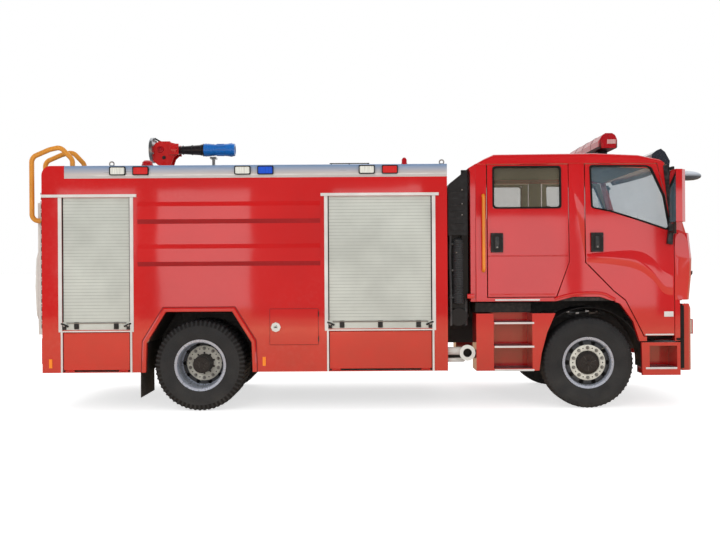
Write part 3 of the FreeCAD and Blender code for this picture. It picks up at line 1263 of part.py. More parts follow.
FRONT_ROOM = [
    ("cab_door_front_x + seam", "screen_bottom"),
    ("cab_front_x + 100", "screen_bottom"),
    ("cab_front_x + 100", "cab_eave_z + 20"),
    ("cab_door_front_x - 189 + seam", "cab_eave_z + 20"),
    ("cab_door_front_x - 189 + seam", "cab_eave_z"),
    ("cab_door_front_x + seam", "screen_bottom + 48"),
]
POST_OUTLINE = [
    ("cab_door_front_x + seam", "screen_bottom"),
    ("cab_front_x - 150", "screen_bottom"),
    ("cab_front_x - 150 - screen_rake", "cab_eave_z"),
    ("cab_door_front_x - 189 + seam", "cab_eave_z"),
    ("cab_door_front_x + seam", "screen_bottom + 48"),
]


def make_cab():
    """The tilting cab: floor, back, sides, roof, front and windscreen."""
    front = make_cab_front()
    inside = "half_width - cab_wall"
    floor = Body("floor_plate")
    floor.pad("YZ", [
        ("-(%s)" % inside, "cab_floor_z"),
        ("-rail_outer_y - 30", "cab_floor_z"),
        ("-rail_outer_y - 30", "cab_floor_z + 130"),
        ("rail_outer_y + 30", "cab_floor_z + 130"),
        ("rail_outer_y + 30", "cab_floor_z"),
        (inside, "cab_floor_z"),
        (inside, "cab_floor_z + cab_wall"),
        ("rail_outer_y + 90", "cab_floor_z + cab_wall"),
        ("rail_outer_y + 90", "cab_floor_z + 190"),
        ("-rail_outer_y - 90", "cab_floor_z + 190"),
        ("-rail_outer_y - 90", "cab_floor_z + cab_wall"),
        ("-(%s)" % inside, "cab_floor_z + cab_wall"),
    ], "cab_rear_x + cab_wall", "pivot_x")
    toe = prism("toe_panel", "XZ", [
        ("pivot_x - 20", "cab_floor_z + 20"),
        ("pivot_x", "cab_floor_z + 20"),
        ("pivot_x + 15", "cab_floor_z + 140"),
        ("cab_front_x - front_wall", "cab_floor_z + 310"),
        ("cab_front_x - front_wall", "cab_floor_z + 345"),
        ("pivot_x - 20", "cab_floor_z + 170"),
    ], "-(%s) + 60" % inside, inside + " - 60")
    toe = cut("toe_seated", toe, [front])
    pieces = [floor.body, toe]
    bores = []
    for side, tag in ((RIGHT, "right"), (LEFT, "left")):
        arm = ("-rail_outer_y - 47", "-rail_outer_y - 7") if side == RIGHT else ("rail_outer_y + 7",
                                                                                "rail_outer_y + 47")
        rest = ("-rail_outer_y + 5", "-rail_outer_y + 75") if side == RIGHT else ("rail_outer_y - 75",
                                                                                 "rail_outer_y - 5")
        pieces.append(block("cab_arm_" + tag, ("pivot_x - 28", "pivot_x + 24"), arm, ("pivot_z", "cab_floor_z + 40")))
        pieces.append(rod("cab_eye_" + tag, "y", "pivot_radius + 20", arm[0], arm[1], ("pivot_x", "pivot_z")))
        pieces.append(block("cab_foot_" + tag, ("cab_rear_x + 70", "cab_rear_x + 170"), rest,
                            ("cab_floor_z", "cab_floor_z + 140")))
        bores.append(rod("cab_bore_" + tag, "y", "pivot_radius + pin_play", arm[0] + " - 2", arm[1] + " + 2",
                         ("pivot_x", "pivot_z")))
    node("cab_floor", cut("cab_floor", fuse("cab_floor_whole", pieces), bores))

    back = Body("back_wall")
    back.pad("XZ", [
        ("cab_rear_x", "cab_floor_z"),
        ("cab_rear_x + cab_wall", "cab_floor_z"),
        ("cab_rear_x + cab_wall", "cab_eave_z"),
        ("cab_rear_x + 56", "cab_eave_z"),
        ("cab_rear_x - 22", "cab_eave_z - 47"),
        ("cab_rear_x", "cab_eave_z - 90"),
    ], "-half_width + cab_lean", "half_width - cab_lean")
    node("cab_back_wall", back.body)

    slab = side_slab("cab_slab", "cab_rear_x + cab_wall", "cab_door_front_x + seam", "cab_floor_z")
    skirt = side_slab("cab_skirt", "front_axle_x + 300", "cab_door_front_x - 320", "cab_step_top + 14")
    arch = prism("cab_arch", "XZ", [
        ("front_axle_x - 420", "cab_step_top - 60"),
        ("front_axle_x - 391", "cab_floor_z"),
        ("front_axle_x - 192", "cab_floor_z + 51"),
        ("front_axle_x + 122", "cab_floor_z + 49"),
        ("front_axle_x + 356", "cab_floor_z - 34"),
        ("front_axle_x + 507", "cab_floor_z - 245"),
        ("front_axle_x + 601", "cab_step_top - 60"),
    ], SKIN + " - 40", SKIN + " + 200")
    crew_gap = prism("crew_opening", "XZ", crew_door_outline("seam", "swing_seam"), SKIN + " - 40", SKIN + " + 200")
    cab_gap = prism("cab_opening", "XZ", cab_door_outline("seam", "swing_seam"), SKIN + " - 40", SKIN + " + 200")
    post_room = prism("post_room", "XZ", FRONT_ROOM, SKIN + " - 20", SKIN + " + 200")
    right = cut("cab_side_right", fuse("cab_side_blank", [slab, skirt]), [arch, crew_gap, cab_gap, post_room])
    node("cab_sides", both("cab_sides", right))

    roof = make_cab_roof()
    make_roof_fittings(roof, front, right)


def front_plan(back, half, drop):
    """The bowed plan of the cab's front, set back by an amount, for one half width."""
    x = "cab_front_x - (%s)" % back
    return [
        (x + " - 135 - %s" % drop, "-(%s) + 20" % half),
        (x + " - 98", "-(%s) + 65" % half),
        (x + " - 55", "-(%s) + 205" % half),
        (x + " - 20", "-(%s) + 445" % half),
        (x + " - 2", "-(%s) + 845" % half),
    ]


def front_shell(low_back, half, wall, rear):
    """Closed plan outline of a bowed front shell with a wall thickness."""
    outer = [(rear, "-(%s)" % half)] + front_plan(low_back, half, "0")
    inner = [(rear, "-(%s) + %s" % (half, wall))] + [
        ("%s - %s" % (ahead, wall), "%s + %s * 0.4" % (across, wall))
        for ahead, across in front_plan(low_back, half, "0")
    ]
    return outer + [(a, "-(%s)" % b) for a, b in reversed(outer)] + [(a, "-(%s)" % b) for a, b in inner] + list(
        reversed(inner))


def make_cab_roof():
    """Roof panel with rounded edges, hollow below."""
    roof = Body("roof_panel")
    roof.pad("XZ", [
        ("cab_rear_x + 56", "cab_eave_z"),
        ("cab_door_front_x - 93", "cab_eave_z"),
        ("cab_door_front_x - 160", "cab_eave_z + 52"),
        ("cab_door_front_x - 400", "cab_roof_z - 22"),
        ("cab_door_front_x - 900", "cab_roof_z"),
        ("cab_rear_x + 280", "cab_roof_z - 8"),
        ("cab_rear_x + 164", "cab_eave_z + 62"),
    ], "-half_width + cab_lean", "half_width - cab_lean")
    level = size("cab_eave_z")
    edge = size("half_width") - size("cab_lean")
    roof.soften("42", lambda e: abs(abs(e.Vertexes[0].Y) - edge) < 1 and abs(abs(e.Vertexes[-1].Y) - edge) < 1
                and min(v.Z for v in e.Vertexes) > level + 40 and abs(e.Vertexes[0].Y - e.Vertexes[-1].Y) < 1)
    roof.pocket("XZ", [
        ("cab_rear_x + 56 + cab_wall", "cab_eave_z"),
        ("cab_door_front_x - 150", "cab_eave_z"),
        ("cab_door_front_x - 420", "cab_roof_z - 60"),
        ("cab_rear_x + 300", "cab_roof_z - 60"),
    ], "-half_width + cab_lean + cab_wall", "half_width - cab_lean - cab_wall")
    screen = screen_plan("half_width - cab_wall - cab_lean", "screen_rake")
    front = screen[:len(screen) // 2]
    brow = prism("roof_brow", "XY", front + [
        ("cab_door_front_x - 160", "half_width - cab_wall - cab_lean"),
        ("cab_door_front_x - 160", "-half_width + cab_wall + cab_lean"),
    ], "cab_eave_z", "cab_eave_z + 26")
    return node("cab_roof", fuse("cab_roof", [roof.body, brow]))


def make_cab_front():
    """Front panel with its corner posts, and the raked windscreen."""
    rear = "cab_door_front_x + seam"
    panel = Body("front_lower")
    levels = (("front_bottom", "0"), ("front_bottom + 270", "-front_bulge * 0.8"),
              ("screen_bottom - 300", "-front_bulge"), ("screen_bottom", "0"))
    sections = [panel.sketch("XY", front_shell(back, "half_width", "front_wall", rear), z) for z, back in levels]
    loft = panel.add("AdditiveLoft", sections[0])
    loft.Sections = sections[1:]
    loft.Ruled = True
    pieces = [panel.body]
    slab = side_slab("post_slab", "cab_door_front_x - 300", "cab_front_x", "screen_bottom")
    post_shape = prism("post_shape", "XZ", POST_OUTLINE, SKIN + " - 20", SKIN + " + 200")
    post = common("front_post", slab, post_shape)
    pieces += [post, mirrored("front_post_mirror", post)]
    corner = block("front_corner", (rear, rear + " + 60"), (SKIN, SKIN + " + cab_wall"), ("cab_step_top + 14",
                   "front_bottom"))
    pieces += [corner, mirrored("front_corner_mirror", corner)]
    whole = node("cab_front_panel", fuse("cab_front_panel", pieces))

    glass = Body("windscreen")
    half = "half_width - cab_wall - cab_lean"
    low = glass.sketch("XY", screen_plan(half, "0"), "screen_bottom")
    high = glass.sketch("XY", screen_plan(half, "screen_rake"), "cab_eave_z")
    loft = glass.add("AdditiveLoft", low)
    loft.Sections = [high]
    loft.Ruled = True
    node("windscreen", glass.body)
    return whole


def screen_plan(half, back):
    """A bowed strip of glass in plan."""
    outer = [
        ("cab_front_x - 150 - %s" % back, "-(%s)" % half),
        ("cab_front_x - 75 - %s" % back, "-(%s) * 0.72" % half),
        ("cab_front_x - 40 - %s" % back, "-(%s) * 0.36" % half),
    ]
    middle = ("cab_front_x - 30 - %s" % back, "0")
    front = outer + [middle] + [(a, "-(%s)" % b) for a, b in reversed(outer)]
    return front + [("%s - glass_thick * 2" % a, b) for a, b in reversed(front)]


def make_cab_fittings():
    """Dashboard and wheel, seats, light bar, kerb mirror, visor and grab bars."""
    inside = "half_width - cab_wall - cab_lean"
    dash = prism("dash_block", "XZ", [
        ("cab_front_x - 400", "screen_bottom - 352"),
        ("cab_front_x - 150", "screen_bottom - 452"),
        ("cab_front_x - 150", "screen_bottom - 40"),
        ("cab_front_x - 300", "screen_bottom - 20"),
        ("cab_front_x - 470", "screen_bottom - 120"),
    ], "-(%s) + 20" % inside, inside + " - 20")
    toe_post = block("dash_post", ("cab_front_x - 330", "cab_front_x - 230"), ("-60", "60"),
                     ("cab_floor_z + 190", "screen_bottom - 352"))
    wheel_y = size("seat_y")
    wheel_z = size("screen_bottom") - 32
    wheel = doc.addObject("Part::Torus", "steering_ring")
    wheel.Radius1 = size("wheel_ring")
    wheel.Radius2 = 15
    wheel.Placement.Rotation = FreeCAD.Rotation(FreeCAD.Vector(0, 1, 0), 35 - 90 + 25)
    bind(wheel, "Placement.Base.x", "cab_front_x - 620")
    wheel.Placement.Base.y = wheel_y
    wheel.Placement.Base.z = wheel_z
    hub_at = FreeCAD.Vector(size("cab_front_x") - 620, wheel_y, wheel_z)
    column_to = FreeCAD.Vector(size("cab_front_x") - 420, wheel_y, wheel_z - 220)
    column = doc.addObject("Part::Feature", "steering_column")
    column.Shape = Part.makeCylinder(32, (column_to - hub_at).Length, hub_at, column_to - hub_at)
    spokes = rod("steering_spoke", "y", "13", "seat_y - wheel_ring + 3", "seat_y + wheel_ring - 3",
                 ("cab_front_x - 620", "screen_bottom - 32"))
    node("dashboard", fuse("dashboard", [dash, toe_post, wheel, column, spokes]))

    seats = []
    floor_top = "cab_floor_z + cab_wall"
    for tag, y in (("right", "-seat_y"), ("left", "seat_y")):
        seat = Body("front_seat_" + tag)
        seat.pad("XZ", [
            ("seat_x - 140", floor_top),
            ("seat_x + 320", floor_top),
            ("seat_x + 360", "seat_z"),
            ("seat_x + 360", "seat_z + 100"),
            ("seat_x", "seat_z + 90"),
            ("seat_x - 90", "seat_z + 690"),
            ("seat_x - 100", "seat_z + 860"),
            ("seat_x - 190", "seat_z + 860"),
            ("seat_x - 180", "seat_z"),
        ], y + " - seat_half", y + " + seat_half")
        seats.append(seat.body)
    bench = Body("crew_bench")
    bench.pad("XZ", [
        ("cab_rear_x + 120", "cab_floor_z + 190"),
        ("cab_rear_x + 560", "cab_floor_z + 190"),
        ("cab_rear_x + 620", "seat_z"),
        ("cab_rear_x + 620", "seat_z + 100"),
        ("cab_rear_x + 260", "seat_z + 90"),
        ("cab_rear_x + 190", "seat_z + 760"),
        ("cab_rear_x + 90", "seat_z + 760"),
        ("cab_rear_x + 90", "seat_z"),
    ], "-half_width + 165", "half_width - 165")
    seats.append(bench.body)
    node("seats", group("seats", seats))


def make_roof_fittings(roof, front, side):
    """Light bar, kerb mirror, sun visor and grab bars, each seated on the cab's skin."""
    bar = Body("light_bar_body")
    bar.pad("XZ", light_section(), "-light_half", "light_half")
    reach = size("light_half")
    bar.soften("45", lambda e: abs(e.Vertexes[0].X - e.Vertexes[-1].X) < 1
               and abs(abs(e.Vertexes[0].Y) - reach) < 1 and abs(e.Vertexes[0].Y - e.Vertexes[-1].Y) < 1)
    feet = [
        block("light_foot_" + tag, ("light_x - 40", "light_x + 40"), (y + " - 40", y + " + 40"),
              ("cab_roof_z - 30", "light_z + 20"))
        for tag, y in (("right", "-light_half * 0.6"), ("left", "light_half * 0.6"))
    ]
    node("light_bar", cut("light_bar", fuse("light_bar_whole", [bar.body] + feet), [roof]))

    head = Body("kerb_head")
    head.pad("XZ", [
        ("cab_door_front_x + 106", "cab_roof_z - 302"),
        ("cab_door_front_x + 130", "cab_roof_z - 326"),
        ("cab_door_front_x + 352", "cab_roof_z - 292"),
        ("cab_door_front_x + 366", "cab_roof_z - 252"),
        ("cab_door_front_x + 340", "cab_roof_z - 202"),
        ("cab_door_front_x + 130", "cab_roof_z - 192"),
    ], SKIN + " + 20", SKIN + " + 200")
    head.soften("14", lambda e: along(e, "y"))
    post_x = size("cab_door_front_x")
    roof_z = size("cab_roof_z")
    arm = bent_tube("kerb_arm", [
        (post_x - 80, -size("half_width") + 70, roof_z - 232),
        (post_x + 20, -size("half_width") + 70, roof_z - 192),
        (post_x + 160, -size("half_width") + 90, roof_z - 232),
    ], [60], 13)
    node("kerb_mirror", cut("kerb_mirror", fuse("kerb_whole", [head.body, arm]), [front]))

    visor = Body("visor")
    stations = [("-visor_half", "0"), ("-visor_half * 0.5", "visor_bow * 0.75"), ("0", "visor_bow"),
                ("visor_half * 0.5", "visor_bow * 0.75"), ("visor_half", "0")]
    sections = [visor.sketch("XZ", visor_section(bow), y) for y, bow in stations]
    loft = visor.add("AdditiveLoft", sections[0])
    loft.Sections = sections[1:]
    loft.Ruled = True
    node("sun_visor", cut("sun_visor", visor.body, [roof]))

    bar_y = size("half_width") + 42
    bar_foot = size("cab_floor_z") + 358
    bar_top = roof_z - 492
    grab = bent_tube("grab_right", [
        (size("grab_x"), -size("half_width") + 8, bar_foot),
        (size("grab_x"), -bar_y, bar_foot),
        (size("grab_x"), -bar_y, bar_top),
        (size("grab_x"), -size("half_width") + 22, bar_top),
    ], [28, 28], size("grab_radius"))
    node("grab_bars", both("grab_bars", cut("grab_seated", grab, [side])))


def visor_section(forward):
    """Section of the sun visor, whose front lies further forward in the middle."""
    x = "cab_door_front_x + %s" % forward
    return [
        ("cab_door_front_x - 215", "cab_roof_z - 70"),
        ("cab_door_front_x - 204", "cab_roof_z - 1"),
        ("cab_door_front_x - 150", "cab_roof_z + 40"),
        (x + " - 99", "cab_roof_z + 60"),
        (x + " - 50", "cab_roof_z + 20"),
        (x + " + 7", "cab_roof_z - 86"),
        (x + " - 2", "cab_roof_z - 150"),
        (x + " - 14", "cab_roof_z - 160"),
        (x + " - 50", "cab_roof_z - 115"),
        ("cab_door_front_x - 131", "cab_roof_z - 100"),
    ]


def light_section():
    """Section of the roof light bar, with leaning lens faces."""
    high = "light_z + light_height"
    return [
        ("light_x - light_reach + 16", "light_z"),
        ("light_x + light_reach - 16", "light_z"),
        ("light_x + light_reach", "light_z + 24"),
        ("light_x + light_reach", high + " - 90"),
        ("light_x + light_reach - 40", high + " - 22"),
        ("light_x + light_reach - 76", high),
        ("light_x - light_reach + 76", high),
        ("light_x - light_reach + 40", high + " - 22"),
        ("light_x - light_reach", high + " - 90"),
        ("light_x - light_reach", "light_z + 24"),
    ]


def between(side, low, high):
    """Limits across the truck on one side, from the centre line outward."""
    return ("-(%s)" % high, "-(%s)" % low) if side == RIGHT else (low, high)


BAND_LAMPS = ("rear_axle_x - 937", "rear_axle_x - 668", "rear_axle_x + 518", "rear_axle_x + 785",
              "front_axle_x - 2590", "front_axle_x - 2322")
SIDE_MARKERS = (("body_rear_x + 99", "body_bottom + 109"),
                ("arch_centre_x + arch_bottom_half + 134", "body_bottom + 123"))


def make_bumper_and_lamps():
    """Bowed bumper shell with headlamps set in it, tail lamps and band lamps."""
    shell = Body("bumper_shell")
    shell.pad("XY", front_shell("-bumper_ahead", "bumper_half", "bumper_wall", "cab_door_front_x + 115"),
              "bumper_bottom", "bumper_top")
    shell.pocket("XZ", [
        ("cab_front_x - bumper_dip", "bumper_top + 1"),
        ("cab_front_x + 40 + bumper_ahead", "bumper_top + 1"),
        ("cab_front_x + 40 + bumper_ahead", "bumper_top - 133"),
        ("cab_front_x", "bumper_top - 133"),
    ], "-bumper_half", "bumper_half")
    rooms = []
    lamps = []
    for side, tag in ((RIGHT, "right"), (LEFT, "left")):
        y = between(side, "half_width - 545", "half_width - 285")
        z = ("bumper_bottom + 419", "bumper_bottom + 579")
        x = ("cab_front_x + bumper_ahead - 110", "cab_front_x + bumper_ahead - 14")
        rooms.append(block("lamp_room_" + tag, (x[0], "cab_front_x + bumper_ahead + 20"), y, z))
        lamps.append(block("headlamp_" + tag, x, y, z))
        y = between(side, "half_width - 225", "half_width - 55")
        lamps.append(block("tail_lamp_" + tag, ("body_rear_x - 26", "body_rear_x"), y,
                           ("body_bottom + 100", "body_bottom + 400")))
    bumper = node("front_bumper", cut("front_bumper", shell.body, rooms))
    node("head_and_tail_lamps", group("head_and_tail_lamps", lamps))

    band = []
    for i, x in enumerate(BAND_LAMPS):
        band.append(block("band_lamp_%d" % i, (x + " - 88", x + " + 88"), (SKIN + " - 20", SKIN),
                          ("body_skin_top + 40", "body_skin_top + 130")))
    for i, (x, z) in enumerate(SIDE_MARKERS):
        band.append(block("side_marker_%d" % i, (x + " - 18", x + " + 18"), (SKIN + " - 10", SKIN),
                          (z + " - 52", z + " + 52")))
    right = group("warning_lamps_right", band)
    node("warning_lamps", both("warning_lamps", right))
    return bumper


def make_steps():
    """Step boxes behind and ahead of each front wheel."""
    skin = (SKIN, SKIN + " + step_skin")
    deep = (SKIN + " + step_skin", SKIN + " + step_skin + step_depth")
    reach = "guard_radius + guard_wall"
    crew_skin = prism("crew_step_skin", "XZ", [
        ("crew_step_rear_x", "crew_step_bottom"),
        ("front_axle_x - 592", "crew_step_bottom"),
        ("front_axle_x - 565", "crew_step_bottom + 200"),
        ("front_axle_x - 500", "crew_step_bottom + 440"),
        ("front_axle_x - 400", "crew_step_top"),
        ("crew_step_rear_x", "crew_step_top"),
    ], skin[0], skin[1])
    crew_box = block("crew_step_box", ("crew_step_rear_x", "front_axle_x - " + reach.replace("+", "-")), deep,
                     ("crew_step_bottom", "crew_step_top"))
    recess_x = ("crew_step_rear_x + 203", "front_axle_x - guard_radius - guard_wall - 16")
    room = block("crew_step_room", recess_x, (SKIN, deep[1] + " - 30"), ("crew_step_bottom + 26", "crew_step_top + 2"))
    whole = cut("crew_step_shell", fuse("crew_step_blank", [crew_skin, crew_box]), [room])
    treads = [
        block("crew_tread_%d" % i, recess_x, (SKIN, deep[1] + " - 30"), (z, z + " + 26"))
        for i, z in enumerate(("crew_step_bottom + 265", "crew_step_bottom + 541"))
    ]
    stays = [
        rod("crew_stay_%d" % i, "y", "22", deep[1] + " - 20", "-rail_outer_y", (x, "frame_top - 100"))
        for i, x in enumerate(("crew_step_rear_x + 80", "front_axle_x - guard_radius - 60"))
    ]
    crew = fuse("crew_steps_right", [whole] + treads + stays)

    front_skin = prism("cab_step_skin", "XZ", [
        ("front_axle_x + 610", "cab_step_bottom"),
        ("cab_step_front_x", "cab_step_bottom"),
        ("cab_step_front_x", "cab_step_top"),
        ("front_axle_x + 601", "cab_step_top"),
    ], skin[0], skin[1])
    front_x = "front_axle_x + guard_radius + guard_wall"
    front_box = block("cab_step_box", (front_x, "cab_step_front_x"), deep, ("cab_step_bottom", "cab_step_top"))
    room = block("cab_step_room", (front_x + " + 40", "cab_step_front_x - 40"), (SKIN, deep[1] + " - 40"),
                 ("cab_step_bottom + 90", "cab_step_top - 40"))
    stay = rod("cab_step_stay", "y", "22", deep[1] + " - 20", "-rail_outer_y", ("cab_step_front_x - 160",
               "cab_step_top - 30"))
    front = fuse("cab_steps_right",
                 [cut("cab_step_shell", fuse("cab_step_blank", [front_skin, front_box]), [room]), stay])
    right = group("entry_steps_right", [crew, front])
    node("entry_steps", both("entry_steps", right))


def make_gap_gear():
    """Air intake stack behind the cab and the pump's inlet pipe."""
    x0, x1 = "body_front_x + 14", "cab_rear_x - 32"
    stack = Body("stack")
    stack.pad("XZ", [
        (x0, "frame_top + 1040"),
        (x1, "frame_top + 1040"),
        (x1, "cab_eave_z - 57"),
        (x0 + " + 24", "cab_eave_z - 220"),
        (x0, "cab_eave_z - 270"),
    ], "-half_width + 55", "-half_width + 385")
    duct = Body("duct")
    duct.pad("XZ", rectangle((x0 + " + 20", x1 + " - 30"), ("frame_top + 180", "frame_top + 1040")),
             "-half_width + 125", "-half_width + 315")
    cleaner = rod("air_cleaner", "y", "105", "-half_width + 95", "-rail_outer_y - 130",
                  ("(body_front_x + cab_rear_x) / 2", "frame_top + 80"))
    stay = block("cleaner_stay", (x0 + " + 40", x1 + " - 60"), ("-rail_outer_y - 170", "-rail_outer_y"),
                 ("frame_top - 60", "frame_top"))
    node("air_intake", fuse("air_intake", [stack.body, duct.body, cleaner, stay]))

    ring_x = "crew_step_rear_x - 102"
    run_y = "-half_width + 115"
    ring_at = (ring_x, "body_bottom + 205")
    pipe = [
        rod("inlet_run", "x", "46", "body_front_x", ring_x, (run_y, "body_bottom + 220")),
        rod("inlet_drop", "y", "62", run_y + " - 70", run_y + " + 50", ring_at),
        rod("inlet_ring", "y", "92", run_y + " - 95", run_y + " - 65", ring_at),
        rod("drain_run", "x", "24", "body_front_x", ring_x + " - 30", (run_y, "body_bottom + 115")),
        block("drain_link", (ring_x + " - 60", ring_x + " - 20"), (run_y + " - 20", run_y + " + 20"),
              ("body_bottom + 100", "body_bottom + 180")),
    ]
    bore = rod("inlet_bore", "y", "50", run_y + " - 100", run_y + " + 10", ring_at)
    node("inlet_pipe", cut("inlet_pipe", fuse("inlet_whole", pipe), [bore]))


def check_and_write():
    """Every object must be sound before a file is written."""
    doc.recompute()
    bad = [o.Name for o in doc.Objects if "Invalid" in o.State or "Error" in o.State]
    if bad:
        raise RuntimeError("objects failed: " + ", ".join(bad))
    unsound = [
        thing.Label
        for thing in NODES
        if thing.Shape.isNull() or not thing.Shape.isValid() or not thing.Shape.Solids
    ]
    if unsound:
        raise RuntimeError("no sound shape: " + ", ".join(unsound))
    os.makedirs("parts", exist_ok=True)
    for thing in NODES:
        thing.Shape.exportStep(os.path.join("parts", thing.Label + ".step"))


make_frame(make_bumper_and_lamps())
make_axles()
make_wheels()
make_steering()
make_body()
make_shutters()
make_footboards()
make_mudguards()
make_rear_gear()
make_monitor()
make_doors()
make_cab()
make_cab_fittings()
make_steps()
make_gap_gear()
check_and_write()
print(len(NODES), "nodes")
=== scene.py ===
import math

import bmesh
import bpy
from mathutils import Matrix, Vector


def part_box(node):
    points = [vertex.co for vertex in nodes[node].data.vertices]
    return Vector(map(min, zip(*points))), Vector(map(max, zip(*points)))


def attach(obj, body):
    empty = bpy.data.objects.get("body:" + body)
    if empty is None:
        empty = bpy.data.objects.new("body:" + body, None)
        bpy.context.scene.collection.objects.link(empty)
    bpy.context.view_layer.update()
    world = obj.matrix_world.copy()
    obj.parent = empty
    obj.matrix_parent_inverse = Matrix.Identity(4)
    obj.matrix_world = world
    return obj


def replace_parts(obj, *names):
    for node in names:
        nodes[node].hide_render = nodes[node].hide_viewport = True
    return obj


# The looks of the fire engine, in metres, in the frame of its CAD model:
# X forward, Y to the truck's left, Z up. The camera stands on the right side.

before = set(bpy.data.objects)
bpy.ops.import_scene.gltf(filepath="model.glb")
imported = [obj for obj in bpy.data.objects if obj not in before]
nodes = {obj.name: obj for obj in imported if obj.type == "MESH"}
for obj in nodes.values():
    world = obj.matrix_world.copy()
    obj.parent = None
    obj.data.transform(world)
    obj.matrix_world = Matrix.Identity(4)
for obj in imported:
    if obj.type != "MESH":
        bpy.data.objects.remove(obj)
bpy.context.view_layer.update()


def middle(name):
    low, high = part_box(name)
    return (low + high) / 2


SIDES = ((-1, "right"), (1, "left"))
SKIN = 1.245  # half the width over the flat sides of cab and body
CREASE_Z, EAVE_Z = 1.784, 2.87  # the cab's sides lean inward between these heights
LEAN = 0.03
FRONT_AXLE_X = middle("tyre_front_right").x
REAR_AXLE_X = middle("tyres_rear_right").x
AXLE_Z = TYRE_RADIUS = middle("tyre_front_right").z
BEAD_RADIUS = 0.288
FRONT_TYRE_Y = 1.03
REAR_TYRE_YS = (1.06, 0.72)
ARCH_X = -1.95
BODY_REAR_X = -3.78
ROOF_EDGE_Z = 2.868
BAND_LAMP_XS = (-2.889, -2.62, -1.434, -1.167, 0.014, 0.282)
SHUTTERS = (("rear", -3.546, -2.753), ("front", -0.445, 0.768))
SHUTTER_BOTTOM, SHUTTER_TOP = 0.958, 2.503
SHUTTER_Y = SKIN - 0.016
LIGHT_X = middle("light_bar").x
LIGHT_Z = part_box("light_bar")[1].z - 0.182
BARREL_X, BARREL_Z = -2.478, 3.224  # the monitor's pitch axis
INLET_X, INLET_Z = 1.178, 0.665  # the inlet coupling's axis
SEAT_Y = 0.78


def rgb(red, green, blue):
    """A colour given as it shows on a screen, from 0 to 255, in the shader's linear values."""

    def linear(value):
        share = value / 255
        return share / 12.92 if share <= 0.04045 else ((share + 0.055) / 1.055) ** 2.4

    return (linear(red), linear(green), linear(blue), 1.0)


def darker(colour, share):
    return tuple(c * share for c in colour[:3]) + (1.0,)


def turns(count, offset=0.0):
    """Angles evenly round a circle."""
    return [math.tau * (i + offset) / count for i in range(count)]


class Finish:
    """The shader nodes of a material or a world, and the surface node that they feed."""

    def __init__(self, owner, surface="Principled BSDF"):
        owner.use_nodes = True
        self.owner, self.tree = owner, owner.node_tree
        self.surface = self.tree.nodes[surface]

    def feed(self, node, inputs):
        """Links outputs to a node's inputs, or sets plain values there."""
        for key, value in inputs.items():
            if isinstance(value, bpy.types.NodeSocket):
                self.tree.links.new(value, node.inputs[key])
            else:
                node.inputs[key].default_value = value

    def give(self, inputs):
        self.feed(self.surface, inputs)

    def add(self, kind, inputs=None, **properties):
        node = self.tree.nodes.new("ShaderNode" + kind)
        for key, value in properties.items():
            setattr(node, key, value)
        self.feed(node, inputs or {})
        return node

    def place(self):
        """The position on the object, in metres."""
        return self.add("TexCoord").outputs["Object"]

    def height(self):
        return self.add("SeparateXYZ", {"Vector": self.place()}).outputs["Z"]

    def noise(self, scale, detail=3.0, stretch=(1, 1, 1)):
        mapping = self.add("Mapping", {"Vector": self.place(), "Scale": stretch})
        texture = self.add("TexNoise", {"Vector": mapping.outputs["Vector"], "Scale": scale, "Detail": detail})
        return texture.outputs["Fac"]

    def spread(self, source, low, high, from_low=0.3, from_high=0.7):
        """Maps a value from one range to another."""
        return self.add("MapRange", {"Value": source, "From Min": from_low, "From Max": from_high,
                                     "To Min": low, "To Max": high}).outputs["Result"]

    def maths(self, operation, *values):
        return self.add("Math", dict(enumerate(values)), operation=operation).outputs["Value"]

    def mix(self, factor, first, second):
        """A mix of two colours, in the sockets that a colour mix uses."""
        return self.add("Mix", {"Factor": factor, 6: first, 7: second}, data_type="RGBA").outputs[2]

    def mottled(self, pattern, first, second):
        return self.mix(self.spread(pattern, 0.0, 1.0), first, second)

    def worn(self, base, wear, amount):
        """Paler colour along sharp convex edges, broken up by noise."""
        edge = self.spread(self.add("NewGeometry").outputs["Pointiness"], 0.0, 1.0, 0.53, 0.62)
        patch = self.spread(self.noise(22.0), 0.0, amount, 0.45, 0.7)
        return self.mix(self.maths("MULTIPLY", edge, patch), base, wear)

    def dust_and_low_shade(self, base, dust_and_shade, top, amount):
        """Road dust that thins out with height, up to a top in metres; on the paint it is a darker brown that is
        partly painted shade.
        """
        low = self.spread(self.height(), amount, 0.0, 0.1, top)
        patch = self.spread(self.noise(5.0, 5.0), 0.3, 1.0)
        return self.mix(self.maths("MULTIPLY", low, patch), base, dust_and_shade)

    def bump(self, height, strength, distance):
        """Relief of the surface, and of its clear coat where it has one."""
        relief = self.add("Bump", {"Height": height, "Strength": strength, "Distance": distance})
        self.give({"Normal": relief.outputs["Normal"]})
        if self.surface.inputs["Coat Weight"].default_value > 0:
            self.give({"Coat Normal": relief.outputs["Normal"]})


def new_finish(name):
    return Finish(bpy.data.materials.new(name))


def paint(name, colour, dust_and_shade=0.38):
    """Glossy two-layer paint on sheet metal that is not quite flat."""
    finish = new_finish(name)
    finish.give({"Roughness": 0.32, "Specular IOR Level": 0.35, "Coat Weight": 1.0, "Coat Roughness": 0.05,
                 "Coat IOR": 1.85})
    base = finish.mottled(finish.noise(0.9, 4.0), colour, darker(colour, 0.86))
    base = finish.worn(base, rgb(214, 96, 90), 0.1)
    # Towards the bottom the red turns to a darker brown: partly road dust, partly painted shade.
    finish.give({"Base Color": finish.dust_and_low_shade(base, rgb(134, 52, 36), 1.25, dust_and_shade)})
    finish.bump(finish.noise(1.1, 1.5, (1.6, 1.0, 0.8)), 0.1, 0.02)
    return finish.owner


